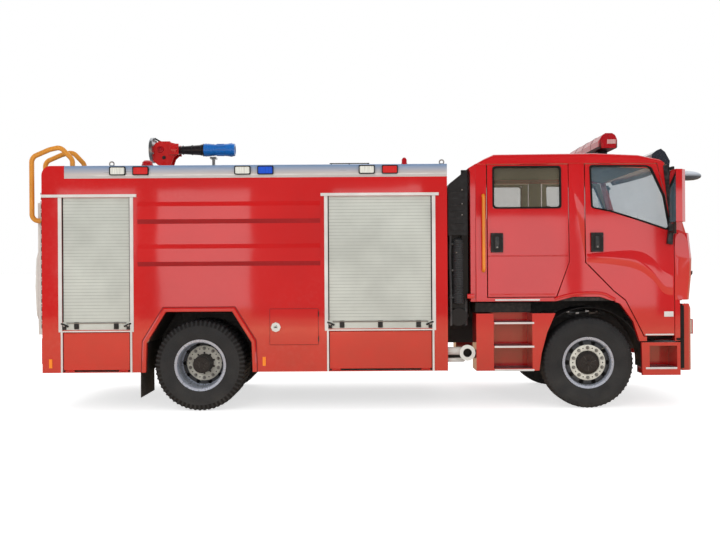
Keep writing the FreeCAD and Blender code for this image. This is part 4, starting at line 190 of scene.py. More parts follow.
def satin(name, colour, roughness=0.5, metal=0.0, grain=60.0, depth=0.0006, wear=None, dust_and_shade=0.0,
          stretch=(1, 1, 1), coat=0.0):
    """A general finish with slight colour change, uneven gloss and fine relief."""
    finish = new_finish(name)
    fine = finish.noise(grain, 4.0, stretch)
    base = finish.mottled(finish.noise(grain / 14), colour, darker(colour, 0.82))
    if wear:
        base = finish.worn(base, wear, 0.8)
    if dust_and_shade:
        base = finish.dust_and_low_shade(base, rgb(150, 140, 125), 1.3, dust_and_shade)
    finish.give({"Base Color": base, "Metallic": metal, "Coat Weight": coat,
                 "Roughness": finish.spread(fine, roughness - 0.07, roughness + 0.09)})
    finish.bump(fine, 0.35, depth)
    return finish.owner


def glass(name, colour, alpha):
    finish = new_finish(name)
    finish.give({"Base Color": finish.mottled(finish.noise(2.2), colour, darker(colour, 0.8)), "Alpha": alpha,
                 "Roughness": finish.spread(finish.noise(9.0), 0.04, 0.07), "Coat Weight": 1.0,
                 "Coat Roughness": 0.02})
    finish.bump(finish.noise(1.3, 1.0), 0.1, 0.01)
    return finish.owner


def lens(name, colour, glow, coat=1.0):
    """Clear coloured plastic with fine vertical flutes."""
    finish = new_finish(name)
    flutes = finish.noise(90.0, 1.0, (1.0, 1.0, 0.06))
    finish.give({"Base Color": finish.mottled(flutes, colour, darker(colour, 0.72)),
                 "Roughness": finish.spread(flutes, 0.12, 0.24), "Coat Weight": coat,
                 "Emission Color": colour, "Emission Strength": glow})
    finish.bump(flutes, 0.4, 0.002)
    return finish.owner


def tread_plate(name, colour):
    """Aluminium plate with a raised pattern of short bars."""
    finish = new_finish(name)
    turned = finish.add("Mapping", {"Vector": finish.place(), "Rotation": (0, 0, math.radians(45))})
    bars = finish.add("TexBrick", {"Vector": turned.outputs["Vector"], "Scale": 22.0, "Mortar Size": 0.14,
                                   "Brick Width": 0.9, "Row Height": 0.3}, offset=0.5)
    finish.give({"Base Color": finish.mottled(finish.noise(7.0), colour, darker(colour, 0.75)),
                 "Metallic": 0.85, "Roughness": finish.spread(finish.noise(30.0), 0.34, 0.52)})
    finish.bump(bars.outputs["Fac"], 0.5, 0.003)
    return finish.owner


def cloth(name, colour):
    """Woven seat cloth."""
    finish = new_finish(name)
    weave = finish.add("TexWave", {"Vector": finish.place(), "Scale": 140.0, "Distortion": 1.5, "Detail": 2.0})
    weave = weave.outputs["Fac"]
    finish.give({"Base Color": finish.mix(weave, colour, darker(colour, 0.6)), "Roughness": 0.9,
                 "Sheen Weight": 0.4})
    finish.bump(weave, 0.5, 0.001)
    return finish.owner


def graded(name, bottom, top, low, high, metal=0.35):
    """Brushed finish that goes from one colour to another between two heights: painted light and shade, as it shows
    ground below and sky above.
    """
    finish = new_finish(name)
    tone = finish.mix(finish.spread(finish.height(), 0.0, 1.0, bottom, top), low, high)
    brushed = finish.noise(24.0, 4.0, (0.05, 1, 1))
    finish.give({"Base Color": finish.mix(finish.spread(brushed, 0.0, 0.25), tone, rgb(150, 158, 170)),
                 "Roughness": finish.spread(brushed, 0.26, 0.4), "Metallic": metal})
    finish.bump(brushed, 0.2, 0.0003)
    return finish.owner


# The roof band: a painted reflection, pale and warm below, blue above.
BAND = graded("silver_band", 2.775, 2.855, rgb(226, 216, 210), rgb(146, 172, 208))
# The kerb mirror's case: painted shade on its underside and painted light on its top.
LIT_AND_SHADED_CASE = graded("mirror_case", 2.712, 2.75, rgb(40, 44, 50), rgb(216, 222, 230), 0.0)
RED = paint("red_paint", rgb(216, 7, 8))
CAB_RED = paint("cab_red", rgb(214, 7, 17))
RIB_SHADE = satin("rib_shade", rgb(170, 6, 14), 0.6, grain=30.0, depth=0.0002)
# The bumper takes more of the darker brown low down: partly road dust, partly painted shade.
BUMPER_RED = paint("bumper_red", rgb(210, 10, 14), dust_and_shade=0.5)
TRIM_WHITE = satin("trim_white", rgb(232, 226, 220), 0.35, coat=0.4, depth=0.0003)
SHUTTER = satin("shutter_slats", rgb(218, 221, 212), 0.42, metal=0.2, grain=30.0, stretch=(0.05, 1, 1),
                depth=0.0003, dust_and_shade=0.12)
ALLOY = satin("brushed_alloy", rgb(205, 208, 212), 0.33, metal=0.9, grain=50.0, stretch=(0.05, 1, 1))
TREAD_PLATE = tread_plate("tread_plate", rgb(178, 182, 188))
BLACK = satin("black_plastic", rgb(34, 35, 38), 0.5, wear=rgb(70, 70, 72), dust_and_shade=0.15)
# Black rubber of seals and frames, also used as painted shade in tyre notches, hand holes and the handle recesses.
RUBBER_AND_SHADE = satin("seal_rubber_and_shade", rgb(24, 25, 27), 0.6)
TYRE = satin("tyre_rubber", rgb(40, 42, 45), 0.72, grain=90.0, depth=0.0012, dust_and_shade=0.1)
FRAME = satin("frame_black", rgb(42, 43, 46), 0.55, wear=rgb(92, 84, 78), dust_and_shade=0.3)
CAST = satin("cast_grey", rgb(96, 98, 102), 0.6, metal=0.4, wear=rgb(140, 140, 140), dust_and_shade=0.3)
RIM = satin("rim_silver", rgb(196, 204, 220), 0.3, metal=0.5, grain=40.0, dust_and_shade=0.05, coat=0.4)
# Painted shade: the rim's disc between nut ring and rim is dark as it lies in shadow.
DISC_SHADE = satin("rim_disc", rgb(80, 82, 86), 0.45, metal=0.3, grain=40.0, wear=rgb(130, 130, 128), dust_and_shade=0.1)
NUT_RING = satin("ring_cream", rgb(234, 230, 216), 0.45, wear=rgb(150, 140, 128), grain=40.0, dust_and_shade=0.05)
NUT = satin("nut_grey", rgb(150, 147, 140), 0.45, metal=0.3, wear=rgb(196, 192, 184))
HUB = satin("hub_dark", rgb(58, 54, 52), 0.5, metal=0.3, wear=rgb(120, 116, 110))
HOOP = satin("hoop_orange", rgb(232, 152, 48), 0.35, coat=0.5, wear=rgb(240, 200, 140))
GRAB = satin("grab_orange", rgb(244, 142, 30), 0.35, coat=0.5)
PIPE = satin("pipe_cream", rgb(236, 233, 224), 0.4, coat=0.3, wear=rgb(170, 160, 150), dust_and_shade=0.15)
NOZZLE = satin("nozzle_blue", rgb(20, 116, 206), 0.3, coat=0.8)
BARREL = satin("barrel_black", rgb(38, 32, 36), 0.35, coat=0.6, wear=rgb(120, 60, 60))
DARK_TRIM = satin("dash_plastic", rgb(72, 74, 78), 0.6, grain=200.0)
LINING = satin("cab_lining", rgb(186, 168, 134), 0.75, grain=160.0)
SEAM_RED = satin("seam_red", rgb(138, 16, 20), 0.5)
# The slat grooves' darker grey is painted shade.
GROOVE_SHADE = satin("slat_groove", rgb(182, 186, 176), 0.6)
# Grey of hoses and bolts, also used as the painted highlight of the door handles' grips.
HOSE_AND_HIGHLIGHT = satin("hose_grey_and_highlight", rgb(58, 60, 62), 0.5, wear=rgb(110, 108, 104), grain=80.0)
FABRIC = cloth("seat_cloth", rgb(78, 80, 86))
VISOR = satin("visor_smoke", rgb(44, 48, 58), 0.22, coat=1.0)
MIRROR = satin("mirror_glass", rgb(214, 222, 228), 0.05, metal=1.0, grain=8.0, depth=0.00005)
PANE = glass("side_glass", rgb(112, 140, 156), 0.26)
CREW_PANE = glass("crew_glass", rgb(142, 136, 116), 0.24)
SCREEN = glass("screen_glass", rgb(120, 142, 156), 0.22)
LENS_WHITE = lens("lens_white", rgb(232, 230, 218), 0.12)
LENS_RED = lens("lens_red", rgb(214, 42, 40), 0.15)
LENS_CLEAR = lens("lens_clear", rgb(226, 176, 172), 0.02)
LENS_BLUE = lens("lens_blue", rgb(26, 84, 205), 0.2)
LENS_AMBER = lens("lens_amber", rgb(244, 134, 30), 0.25)
BEACON = lens("beacon_red", rgb(182, 12, 26), 0.04, 0.0)


class Piece:
    """Small shapes gathered into one joined mesh, which rides on one body.

    A shape takes the piece's first material unless it names another.
    """

    def __init__(self, name, body, material):
        self.name, self.body, self.materials = name, body, [material]
        self.mesh = bmesh.new()

    def tag(self, faces, material):
        material = material or self.materials[0]
        if material not in self.materials:
            self.materials.append(material)
        for face in faces:
            face.material_index = self.materials.index(material)

    def verts(self, points):
        return [self.mesh.verts.new(Vector(p)) for p in points]

    def join(self, rings, closed=False, around=True):
        """Faces from each ring of vertices to the next, and back to the first where closed."""
        count = len(rings[0])
        return [
            self.mesh.faces.new([first[i], first[(i + 1) % count], second[(i + 1) % count], second[i]])
            for first, second in zip(rings, rings[1:] + rings[:1] if closed else rings[1:])
            for i in range(count if around else count - 1)
        ]

    def box(self, corner, opposite, material=None, bevel=0.003, turn=None):
        """A block with rounded edges; turn is a matrix about its middle."""
        low, high = (Vector([*map(pick, corner, opposite)]) for pick in (min, max))
        size = high - low
        made = bmesh.ops.create_cube(self.mesh, size=1.0)["verts"]
        edges = list(dict.fromkeys(edge for vert in made for edge in vert.link_edges))
        bmesh.ops.scale(self.mesh, vec=size, verts=made)
        width = min(bevel, min(size) * 0.45)
        rounded = bmesh.ops.bevel(self.mesh, geom=edges, offset=width, segments=2, affect="EDGES", profile=0.6)
        verts = list(dict.fromkeys(v for face in rounded["faces"] for v in face.verts))
        shift = Matrix.Translation((low + high) / 2) @ (turn.to_4x4() if turn else Matrix())
        bmesh.ops.transform(self.mesh, matrix=shift, verts=verts)
        self.tag({face for v in verts for face in v.link_faces}, material)

    def lathe(self, profile, centre, axis, material=None, sides=32):
        """A shape turned about a line; the profile is pairs of along and radius."""
        axis = Vector(axis).normalized()
        across = axis.orthogonal().normalized()
        other = axis.cross(across)
        rings = []
        for along, radius in profile:
            hub = Vector(centre) + axis * along
            count = sides if radius else 1
            rings.append(self.verts(hub + (across * math.cos(a) + other * math.sin(a)) * radius
                                    for a in turns(count)))
        faces = []
        for first, second in zip(rings, rings[1:]):
            for i in range(sides):
                j = (i + 1) % sides
                loop = [first[i % len(first)], first[j % len(first)], second[j % len(second)],
                        second[i % len(second)]]
                unique = list(dict.fromkeys(loop))
                if len(unique) > 2:
                    faces.append(self.mesh.faces.new(unique))
        self.tag(faces, material)

    def rod(self, start, end, radius, material=None, sides=16):
        """A round bar with softened ends."""
        start, end = Vector(start), Vector(end)
        length = (end - start).length
        chamfer = min(radius * 0.15, length * 0.3)
        profile = [(0, 0), (0, radius - chamfer), (chamfer, radius), (length - chamfer, radius),
                   (length, radius - chamfer), (length, 0)]
        self.lathe(profile, start, end - start, material, sides)

    def tube(self, points, radius, material=None, sides=10, closed=False, flat=1.0):
        """A tube through points, flattened along Y where flat is under 1."""
        points = [Vector(p) for p in points]
        count = len(points)
        rings = []
        for i, point in enumerate(points):
            before = points[(i - 1) % count] if closed or i else point
            after = points[(i + 1) % count] if closed or i < count - 1 else point
            along = (after - before).normalized()
            across = along.cross(Vector((0, 1, 0)))
            across = across.normalized() if across.length > 0.05 else along.orthogonal().normalized()
            other = across.cross(along)
            rings.append(self.verts(point + across * radius * math.cos(a) + other * radius * flat * math.sin(a)
                                    for a in turns(sides)))
        faces = self.join(rings, closed)
        if not closed:
            faces += [self.mesh.faces.new(rings[0]), self.mesh.faces.new(rings[-1])]
        self.tag(faces, material)

    def ring(self, outer, inner, depth, material=None):
        """A flat frame between two loops of as many points, given a depth vector."""
        far = [[Vector(p) + Vector(depth) for p in loop] for loop in (inner, outer)]
        self.tag(self.join([self.verts(loop) for loop in (outer, inner, *far)], True), material)

    def plate(self, outline, depth, material=None):
        """A flat plate from an outline in space and a depth vector."""
        near, far = self.verts(outline), self.verts(Vector(p) + Vector(depth) for p in outline)
        caps = [self.mesh.faces.new(near), self.mesh.faces.new(far[::-1])]
        self.tag(caps + self.join([near, far]), material)

    def grid(self, rows, material=None):
        """A sheet through rows of points."""
        self.tag(self.join([self.verts(row) for row in rows], around=False), material)

    def nut(self, centre, axis, radius, height, material=None):
        """A six-sided nut on a washer, with its stud's end."""
        foot = height * 0.15
        self.lathe([(0, 0), (0, radius * 1.35), (foot, radius * 1.35), (foot, radius)], centre, axis, material, 12)
        self.lathe([(foot, radius), (height * 0.75, radius), (height * 0.85, radius * 0.8),
                    (height * 0.85, radius * 0.5), (height, radius * 0.45), (height, 0)],
                   centre, axis, material, 6)

    def mirror(self):
        """Adds the same shapes on the other side of the truck."""
        copied = bmesh.ops.duplicate(self.mesh, geom=self.mesh.verts[:] + self.mesh.edges[:] + self.mesh.faces[:])
        verts = [g for g in copied["geom"] if isinstance(g, bmesh.types.BMVert)]
        bmesh.ops.scale(self.mesh, vec=(1, -1, 1), verts=verts)
        return self

    def done(self, angle=35):
        """Makes the object, with edges sharper than the angle kept sharp."""
        bmesh.ops.recalc_face_normals(self.mesh, faces=self.mesh.faces[:])
        data = bpy.data.meshes.new(self.name)
        self.mesh.to_mesh(data)
        self.mesh.free()
        for polygon in data.polygons:
            polygon.use_smooth = True
        data.set_sharp_from_angle(angle=math.radians(angle))
        for material in self.materials:
            data.materials.append(material)
        thing = bpy.data.objects.new(self.name, data)
        bpy.context.scene.collection.objects.link(thing)
        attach(thing, self.body)
        return thing


def skin_y(z):
    """The cab side's distance from the middle at a height."""
    return SKIN - LEAN * max(0.0, z - CREASE_Z) / (EAVE_Z - CREASE_Z)


def rectangle(x0, z0, x1, z1):
    return [(x0, z0), (x1, z0), (x1, z1), (x0, z1)]


def corners_of(points):
    """Each corner of an outline, with the directions to the corners before and after it."""
    for i, point in enumerate(points):
        corner = Vector(point)
        back = (Vector(points[i - 1]) - corner).normalized()
        yield corner, back, (Vector(points[(i + 1) % len(points)]) - corner).normalized()


def rounded_loop(points, radius):
    """A closed outline of X and Z with its corners turned round."""
    loop, steps = [], 6
    for corner, back, ahead in corners_of(points):
        half = back.angle(ahead) / 2
        setback = radius / math.tan(half)
        centre = corner + (back + ahead).normalized() * radius / math.sin(half)
        first, last = corner + back * setback - centre, corner + ahead * setback - centre
        turn = first.angle_signed(last)
        loop += [centre + Matrix.Rotation(-turn * k / steps, 2) @ first for k in range(steps + 1)]
    return loop


def shrink(points, distance):
    """A convex outline moved inward by a distance, or outward where it is negative."""
    centre = sum((Vector(p) for p in points), Vector((0, 0))) / len(points)
    moved = []
    for corner, back, ahead in corners_of(points):
        inward = back + ahead
        inward = inward.normalized() if inward.length > 0.05 else (centre - corner).normalized()
        half = max(back.angle(ahead) / 2, 0.3)
        moved.append(corner + inward * distance / math.sin(half))
    return moved


def on_side(loop, sign, proud):
    """A loop of X and Z laid on the cab's side."""
    return [(p.x, sign * (skin_y(p.y) + proud), p.y) for p in loop]


def upright(loop, y):
    """A loop of X and Z stood up at a Y."""
    return [(p.x, y, p.y) for p in loop]


def curve_through(points, steps):
    """Points on a smooth line through control points of X and Z."""
    padded = [Vector(points[0]) * 2 - Vector(points[1])] + [Vector(p) for p in points]
    padded.append(Vector(points[-1]) * 2 - Vector(points[-2]))
    line = []
    for a, b, c, d in zip(padded, padded[1:], padded[2:], padded[3:]):
        for t in (k / steps for k in range(steps)):
            line.append(0.5 * ((2 * b) + (c - a) * t + (2 * a - 5 * b + 4 * c - d) * t * t
                               + (3 * b - a - 3 * c + d) * t ** 3))
    line.append(Vector(points[-1]))
    return line


def dress(name, *materials, by=None):
    """Gives a CAD node its materials, picked by each face's middle and normal where there are several."""
    data = nodes[name].data
    data.materials.clear()
    for material in materials:
        data.materials.append(material)
    for polygon in data.polygons if by else ():
        polygon.material_index = int(by(polygon.center, polygon.normal))


PLAIN = {
    FRAME: "chassis_frame front_axle rear_axle body_floor tie_rod knuckle_right knuckle_left",
    CAST: "engine_block",
    BLACK: "mudguards air_intake",
    RED: "body_end_walls footboard_front_right footboard_front_left footboard_rear_right footboard_rear_left",
    PIPE: "rear_ladder",
    TREAD_PLATE: "roof_deck hatch_lid",
    BAND: "roof_edge",
    TRIM_WHITE: "shutter_frames",
    HOOP: "ladder_hoops",
    GRAB: "grab_bars",
    VISOR: "sun_visor",
    SCREEN: "windscreen",
    DARK_TRIM: "dashboard",
    BUMPER_RED: "front_bumper",
    PANE: "pane_cab_right pane_cab_left",
    CREW_PANE: "pane_crew_right pane_crew_left",
}


def dress_nodes():
    """Materials of the CAD nodes that stay in view."""
    for material, names in PLAIN.items():
        for name in names.split():
            dress(name, material)
    dress("body_sides", RED, RIB_SHADE, by=lambda at, n: n.z < -0.15 and abs(n.y) > 0.3 and at.z > 1.7)
    dress("monitor_base", RED, ALLOY, by=lambda at, n: at.x > -2.2)
    dress("inlet_pipe", PIPE, HUB, by=lambda at, n: math.hypot(at.x - INLET_X, at.z - INLET_Z) < 0.0503)
    flange_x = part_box("monitor_body")[0].x + 0.041
    dress("monitor_body", RED, ALLOY, by=lambda at, n: at.x < flange_x)
    dress("monitor_barrel", BARREL, NOZZLE, by=lambda at, n: at.x > -2.1)
    dress("cab_floor", FRAME, DARK_TRIM, by=lambda at, n: n.z > 0.5 and at.z > 1.28)
    dress("roller_shutters", SHUTTER, GROOVE_SHADE, by=slat_face)
    dress("light_bar", BEACON, BLACK, by=lambda at, n: at.z < LIGHT_Z + 0.045 or n.z < -0.5)
    dress("entry_steps", CAB_RED, TREAD_PLATE, by=lambda at, n: n.z > 0.9 and at.z < 1.05)
    dress("cab_back_wall", CAB_RED, LINING, RIB_SHADE, by=lambda at, n: 1 if n.x > 0.5 else 2 if n.x < -0.5 else 0)
    dress("cab_roof", CAB_RED, LINING, by=lambda at, n: n.z < -0.3 and at.z > 2.88)
    dress("cab_sides", CAB_RED, LINING, by=lambda at, n: n.y * at.y < -0.1 and abs(at.y) < 1.2)
    dress("cab_front_panel", CAB_RED, LINING, by=lambda at, n: n.x < -0.5 and at.x > 3.65)
    dress("head_and_tail_lamps", LENS_WHITE, LENS_RED, by=lambda at, n: at.x <= 0)
    dress("warning_lamps", LENS_WHITE, LENS_RED, LENS_WHITE, LENS_BLUE, LENS_WHITE, LENS_RED, LENS_AMBER,
          by=lambda at, n: 6 if at.z < 1 else min(range(6), key=lambda i: abs(BAND_LAMP_XS[i] - at.x)))
    for _, side in SIDES:
        dress("door_crew_" + side, CAB_RED, LINING, BLACK, by=lambda at, n: door_face(at, n, 1.44, 1.61))
        dress("door_cab_" + side, CAB_RED, LINING, BLACK, MIRROR, by=cab_door_face)
        for name in ("rim_front_" + side, "rims_rear_" + side):
            dress(name, RIM, NUT_RING, HUB, DISC_SHADE, by=rim_face)


def slat_face(at, normal):
    """Slats pale, the grooves between them darker as painted shade."""
    if at.x < BODY_REAR_X + 0.05:
        return normal.x < -0.5 and at.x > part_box("roller_shutters")[0].x + 0.0008 and abs(at.y) < 0.59
    front = SHUTTER_Y - 0.0008
    return front - 0.006 < abs(at.y) < front and at.z > SHUTTER_BOTTOM + 0.1


def door_face(at, normal, start, end):
    """Outside red, inside trim, and the handle's block black."""
    if start < at.x < end and 1.83 < at.z < 2.065 and abs(at.y) > skin_y(at.z) + 0.002:
        return 2
    return normal.y * at.y < -0.5 and abs(at.y) < 1.2


def cab_door_face(at, normal):
    """As the crew door, with the mirror's arms and case back black and its glass bright."""
    if at.x < 3.5 and normal.x < -0.9 and abs(at.y) > 1.36 and at.z > 2.1:
        return 3
    if abs(at.y) > 1.262 and (at.z < 2.165 or abs(at.y) < 1.37):
        return 2
    return door_face(at, normal, 2.6, 2.78)


def rim_face(at, normal):
    """A rim by distance from its axle: hub, nut ring, the disc darkened as painted shade (out to a wider radius on
    the front wheel), then the bright rim.
    """
    radius = math.hypot(at.x - (FRONT_AXLE_X if at.x > 0 else REAR_AXLE_X), at.z - AXLE_Z)
    disc_shade_edge = 0.262 if at.x > 0 else 0.251
    return 2 if radius < 0.1425 else 1 if radius < 0.211 else 3 if radius < disc_shade_edge else 0


# Half section of a tyre from bead to tread, as across and radius, drawn for a tread of this radius.
DRAWN_RADIUS = 0.545
TYRE_SIDE = (
    (0.116, BEAD_RADIUS + 0.003), (0.124, BEAD_RADIUS + 0.02), (0.129, BEAD_RADIUS + 0.03),
    (0.136, 0.345), (0.145, 0.385), (0.149, 0.42), (0.1495, 0.445), (0.147, 0.468), (0.148, 0.471),
    (0.147, 0.474), (0.143, 0.5), (0.138, 0.516), (0.136, 0.517), (0.133, 0.531), (0.123, 0.5415),
    (0.104, 0.544),
)
TREAD_GROOVES = ((0.076, 0.066), (0.026, 0.016), (-0.016, -0.026), (-0.066, -0.076))
TREAD_BLOCKS = 60


def make_tyre(piece, axle_x, across, blocks):
    """One tyre with ribs, grooves and shoulder notches; blocks cut the tread across too."""
    stretch = (TYRE_RADIUS - 0.0005 - BEAD_RADIUS) / (DRAWN_RADIUS - BEAD_RADIUS)
    section = list(TYRE_SIDE)
    for start, end in TREAD_GROOVES:
        section += [(start, 0.5445), (start - 0.0015, 0.531), (end + 0.0015, 0.531), (end, 0.5445)]
    section += [(-y, r) for y, r in reversed(TYRE_SIDE)]
    section += [(-0.1, BEAD_RADIUS + 0.006), (0.1, BEAD_RADIUS + 0.006)]
    parts = (0.0, 0.36, 0.4, 0.96)  # shares of a block's pitch: its two ends, then the cut's two ends
    rings = []
    for i in range(TREAD_BLOCKS * len(parts)):
        block, part = divmod(i, len(parts))
        angle = math.tau * ((block + parts[part]) / TREAD_BLOCKS)
        cut = part > 1
        row = []
        for y, r in section:
            notch = 0.0
            if cut and r > 0.528 and (blocks or abs(y) > 0.1):
                notch = 0.009 if blocks or abs(y) > 0.118 else 0.003
            elif cut and 0.498 < r <= 0.528 and abs(y) > 0.13:
                notch = 0.007
            radius = BEAD_RADIUS + (r - notch - BEAD_RADIUS) * stretch
            row.append((axle_x + radius * math.sin(angle), across + y, AXLE_Z + radius * math.cos(angle)))
        rings.append(piece.verts(row))
    # Faces in the shoulder notches of the blocked tyres take the darker black rubber: painted shade.
    for number, face in enumerate(piece.join(rings, True)):
        i, k = divmod(number, len(section))
        if blocks and i % len(parts) == 2 and section[k][1] > 0.495 and abs(section[k][0]) > 0.11:
            piece.tag([face], RUBBER_AND_SHADE)


def make_tyres():
    for sign, side in SIDES:
        front = Piece("road_tyre_front_" + side, "front_wheel_" + side, TYRE)
        make_tyre(front, FRONT_AXLE_X, sign * FRONT_TYRE_Y, False)
        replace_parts(front.done(28), "tyre_front_" + side)
        rear = Piece("road_tyres_rear_" + side, "rear_wheel_" + side, TYRE)
        for y in REAR_TYRE_YS:
            make_tyre(rear, REAR_AXLE_X, sign * y, True)
        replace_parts(rear.done(28), "tyres_rear_" + side)


# Each axle's name and X, and distances from the middle of its nut ring, hub cap, rim edge, hub nuts and
# hand holes, with the cap's radius and the holes' lean in degrees.
WHEELS = (
    ("front", FRONT_AXLE_X, 1.122, 1.168, 1.152, 1.116, 1.111, 0.101, 24.7),
    ("rear", REAR_AXLE_X, 0.904, 1.122, 1.182, 0.916, 0.9238, 0.084, 35.2),
)


def make_wheel_fittings():
    """Nut rings, nuts, hand holes, hub ribs, rim edges and valves."""

    def spoke(angle):
        return Vector((math.cos(angle), 0, math.sin(angle)))

    for sign, side in SIDES:
        out = Vector((0, sign, 0))
        for axle, axle_x, face, cap, edge, hub_nut, hole, cap_radius, lean in WHEELS:
            centre = Vector((axle_x, 0, AXLE_Z))
            piece = Piece("wheel_fittings_%s_%s" % (axle, side), "%s_wheel_%s" % (axle, side), NUT_RING)
            piece.lathe([(face, 0.142), (face + 0.01, 0.143), (face + 0.013, 0.15), (face + 0.013, 0.2),
                         (face + 0.008, 0.209), (face, 0.21)], centre, out, sides=64)
            tilt = math.radians(lean)
            half = Vector((cap_radius * 0.3, 0.004, 0.005))
            for i in range(10):
                angle = math.radians(36 * i + 18)
                along, between = spoke(angle), spoke(angle + 0.314)
                seat = centre + out * (face + 0.012)
                piece.nut(seat + along * 0.176, out, 0.0155, 0.036, NUT)
                # Hand holes: closed dark cups that stand for the shade seen inside the wheel, as painted shade.
                piece.lathe([(0.0004, 0.0285), (0.002, 0.0275), (0.002, 0.0205), (-0.014, 0.02), (-0.014, 0)],
                            centre + between * 0.234 + out * hole,
                            between * math.sin(tilt) + out * math.cos(tilt), RUBBER_AND_SHADE, 20)
                piece.lathe([(0, 0.0075), (0.003, 0.0075), (0.003, 0)], seat + between * 0.176, out, HUB, 10)
                at = centre + along * cap_radius * 0.62 + out * (cap + 0.001)
                piece.box(at - half, at + half, HUB, 0.002, Matrix.Rotation(-angle, 3, "Y"))
                piece.nut(centre + along * 0.122 + out * hub_nut, out, 0.009, 0.016, HUB)
            piece.lathe([(cap - 0.001, 0.0), (cap + 0.006, 0.0), (cap + 0.01, 0.018), (cap + 0.006, 0.03),
                         (cap - 0.001, 0.032)], centre, out, HUB, 24)
            for radius, thick, lip in ((0.2925, 0.0055, edge), (0.27, 0.0045, edge - 0.012)):
                piece.lathe([(lip - 0.01, radius - thick), (lip, radius - thick * 0.6), (lip + 0.003, radius),
                             (lip, radius + thick * 0.6), (lip - 0.01, radius + thick)], centre, out, RIM, 72)
            piece.rod(centre + Vector((0.17, sign * (face + 0.004), 0.16)),
                      centre + Vector((0.21, sign * (face + 0.05), 0.19)), 0.005, NUT, 10)
            piece.done()


CREW_WINDOW = rectangle(1.486, 2.352, 2.277, 2.838)
CAB_WINDOW = [(2.636, 2.352), (2.859, 2.313), (3.172, 2.207), (3.505, 2.092), (3.547, 2.113), (3.484, 2.487),
              (3.339, 2.811), (3.28, 2.838), (2.62, 2.845)]


def window_frame(piece, outline, sign, corner):
    """A rubber frame round a window, standing a little proud of the skin."""
    inner = rounded_loop(shrink(outline, 0.013), corner * 0.9)
    for grown, proud, depth in ((-0.007, 0.001, 0.007), (0.0, -0.004, -0.024)):
        outer = rounded_loop(shrink(outline, grown), corner)
        piece.ring(on_side(outer, sign, proud), on_side(inner, sign, proud), (0, sign * depth, 0))


def make_handle(piece, x, sign):
    """A recess plate with a grip bar and its lock."""
    y = skin_y(1.95)
    outer = rounded_loop(rectangle(x, 1.836, x + 0.14, 2.06), 0.028)
    inner = rounded_loop(rectangle(x + 0.016, 1.852, x + 0.124, 2.044), 0.02)
    piece.ring(upright(outer, sign * (y + 0.024)), upright(inner, sign * (y + 0.024)), (0, sign * 0.008, 0), BLACK)
    # The recess floor is darker than the black ring round it: painted shade. The grip is a lighter grey than black
    # plastic: painted highlight.
    piece.box((x + 0.018, sign * (y + 0.022), 1.854), (x + 0.122, sign * (y + 0.026), 2.042), RUBBER_AND_SHADE, 0.002)
    piece.box((x + 0.046, sign * (y + 0.022), 1.88), (x + 0.092, sign * (y + 0.04), 2.016), HOSE_AND_HIGHLIGHT, 0.01)
    piece.lathe([(0, 0.01), (0.005, 0.01), (0.006, 0.008), (0.006, 0)], (x + 0.07, sign * (y + 0.037), 1.895),
                (0, sign, 0), ALLOY, 16)


def make_door_trim():
    """Window rubbers, handles, crease lines and sill strips, on each door."""
    for sign, side in SIDES:
        crew = Piece("crew_door_trim_" + side, "crew_door_" + side, RUBBER_AND_SHADE)
        window_frame(crew, CREW_WINDOW, sign, 0.04)
        make_handle(crew, 1.454, sign)
        crew.tube([(x, sign * (SKIN + 0.0005), CREASE_Z + 0.008) for x in (1.424, 1.6, 2.1, 2.359)], 0.007, CAB_RED)
        crew.box((1.44, sign * 1.2415, 1.335), (2.2, sign * 1.2465, 1.352), CAB_RED, 0.002)
        crew.done()
        cab = Piece("cab_door_trim_" + side, "cab_door_" + side, RUBBER_AND_SHADE)
        window_frame(cab, CAB_WINDOW, sign, 0.034)
        make_handle(cab, 2.62, sign)
        pillar = [Vector(p) for p in ((3.475, 2.842), (3.548, 2.842), (3.578, 2.165), (3.545, 2.165))]
        foot = [Vector(p) for p in ((3.5, 1.925), (3.56, 1.915), (3.578, 2.15), (3.53, 2.165))]
        for outline, thick in ((pillar, 0.008), (foot, 0.045)):
            cab.plate(on_side(outline, sign, 0.001), (0, sign * thick, 0), BLACK)
        for z in (2.24, 2.8):
            cab.box((3.545, sign * 1.225, z - 0.02), (3.578, sign * 1.31, z + 0.02), BLACK, 0.008)
        inside, outside = sign * (SKIN - 0.001), sign * (SKIN + 0.008)
        cab.box((3.25, inside, 0.858), (3.578, outside, 0.876), TRIM_WHITE)
        cab.box((3.468, inside, 1.074), (3.577, outside, 1.136), TRIM_WHITE, 0.004)
        cab.done()
        make_crease(sign, side)


def make_crease(sign, side):
    """The pressed line that falls over the wheel arch: a swell above it and a return below."""
    line = curve_through([(2.574, 1.776), (2.9, 1.752), (3.154, 1.7), (3.33, 1.585), (3.461, 1.43),
                          (3.575, 1.385)], 8)
    drop = 0.085
    rows = []
    for i, point in enumerate(line):
        share = i / (len(line) - 1)
        proud = 0.012 * math.sin(math.pi * min(1.0, share * 1.6 + 0.16) * 0.5) * min(1.0, (1 - share) * 4 + 0.25)
        swell = 0.05 + 0.16 * min(1.0, share * 1.8)
        section = ((swell, -0.002), (swell * 0.6, proud * 0.35), (swell * 0.25, proud * 0.8), (0.01, proud),
                   (0.0, proud * 0.96), (-drop * 0.5, proud * 0.45), (-drop, -0.002))
        rows.append([(point.x, sign * (skin_y(point.y + rise) + out), point.y + rise) for rise, out in section])
    piece = Piece("door_crease_" + side, "cab_door_" + side, CAB_RED)
    piece.grid(rows)
    piece.done(60)


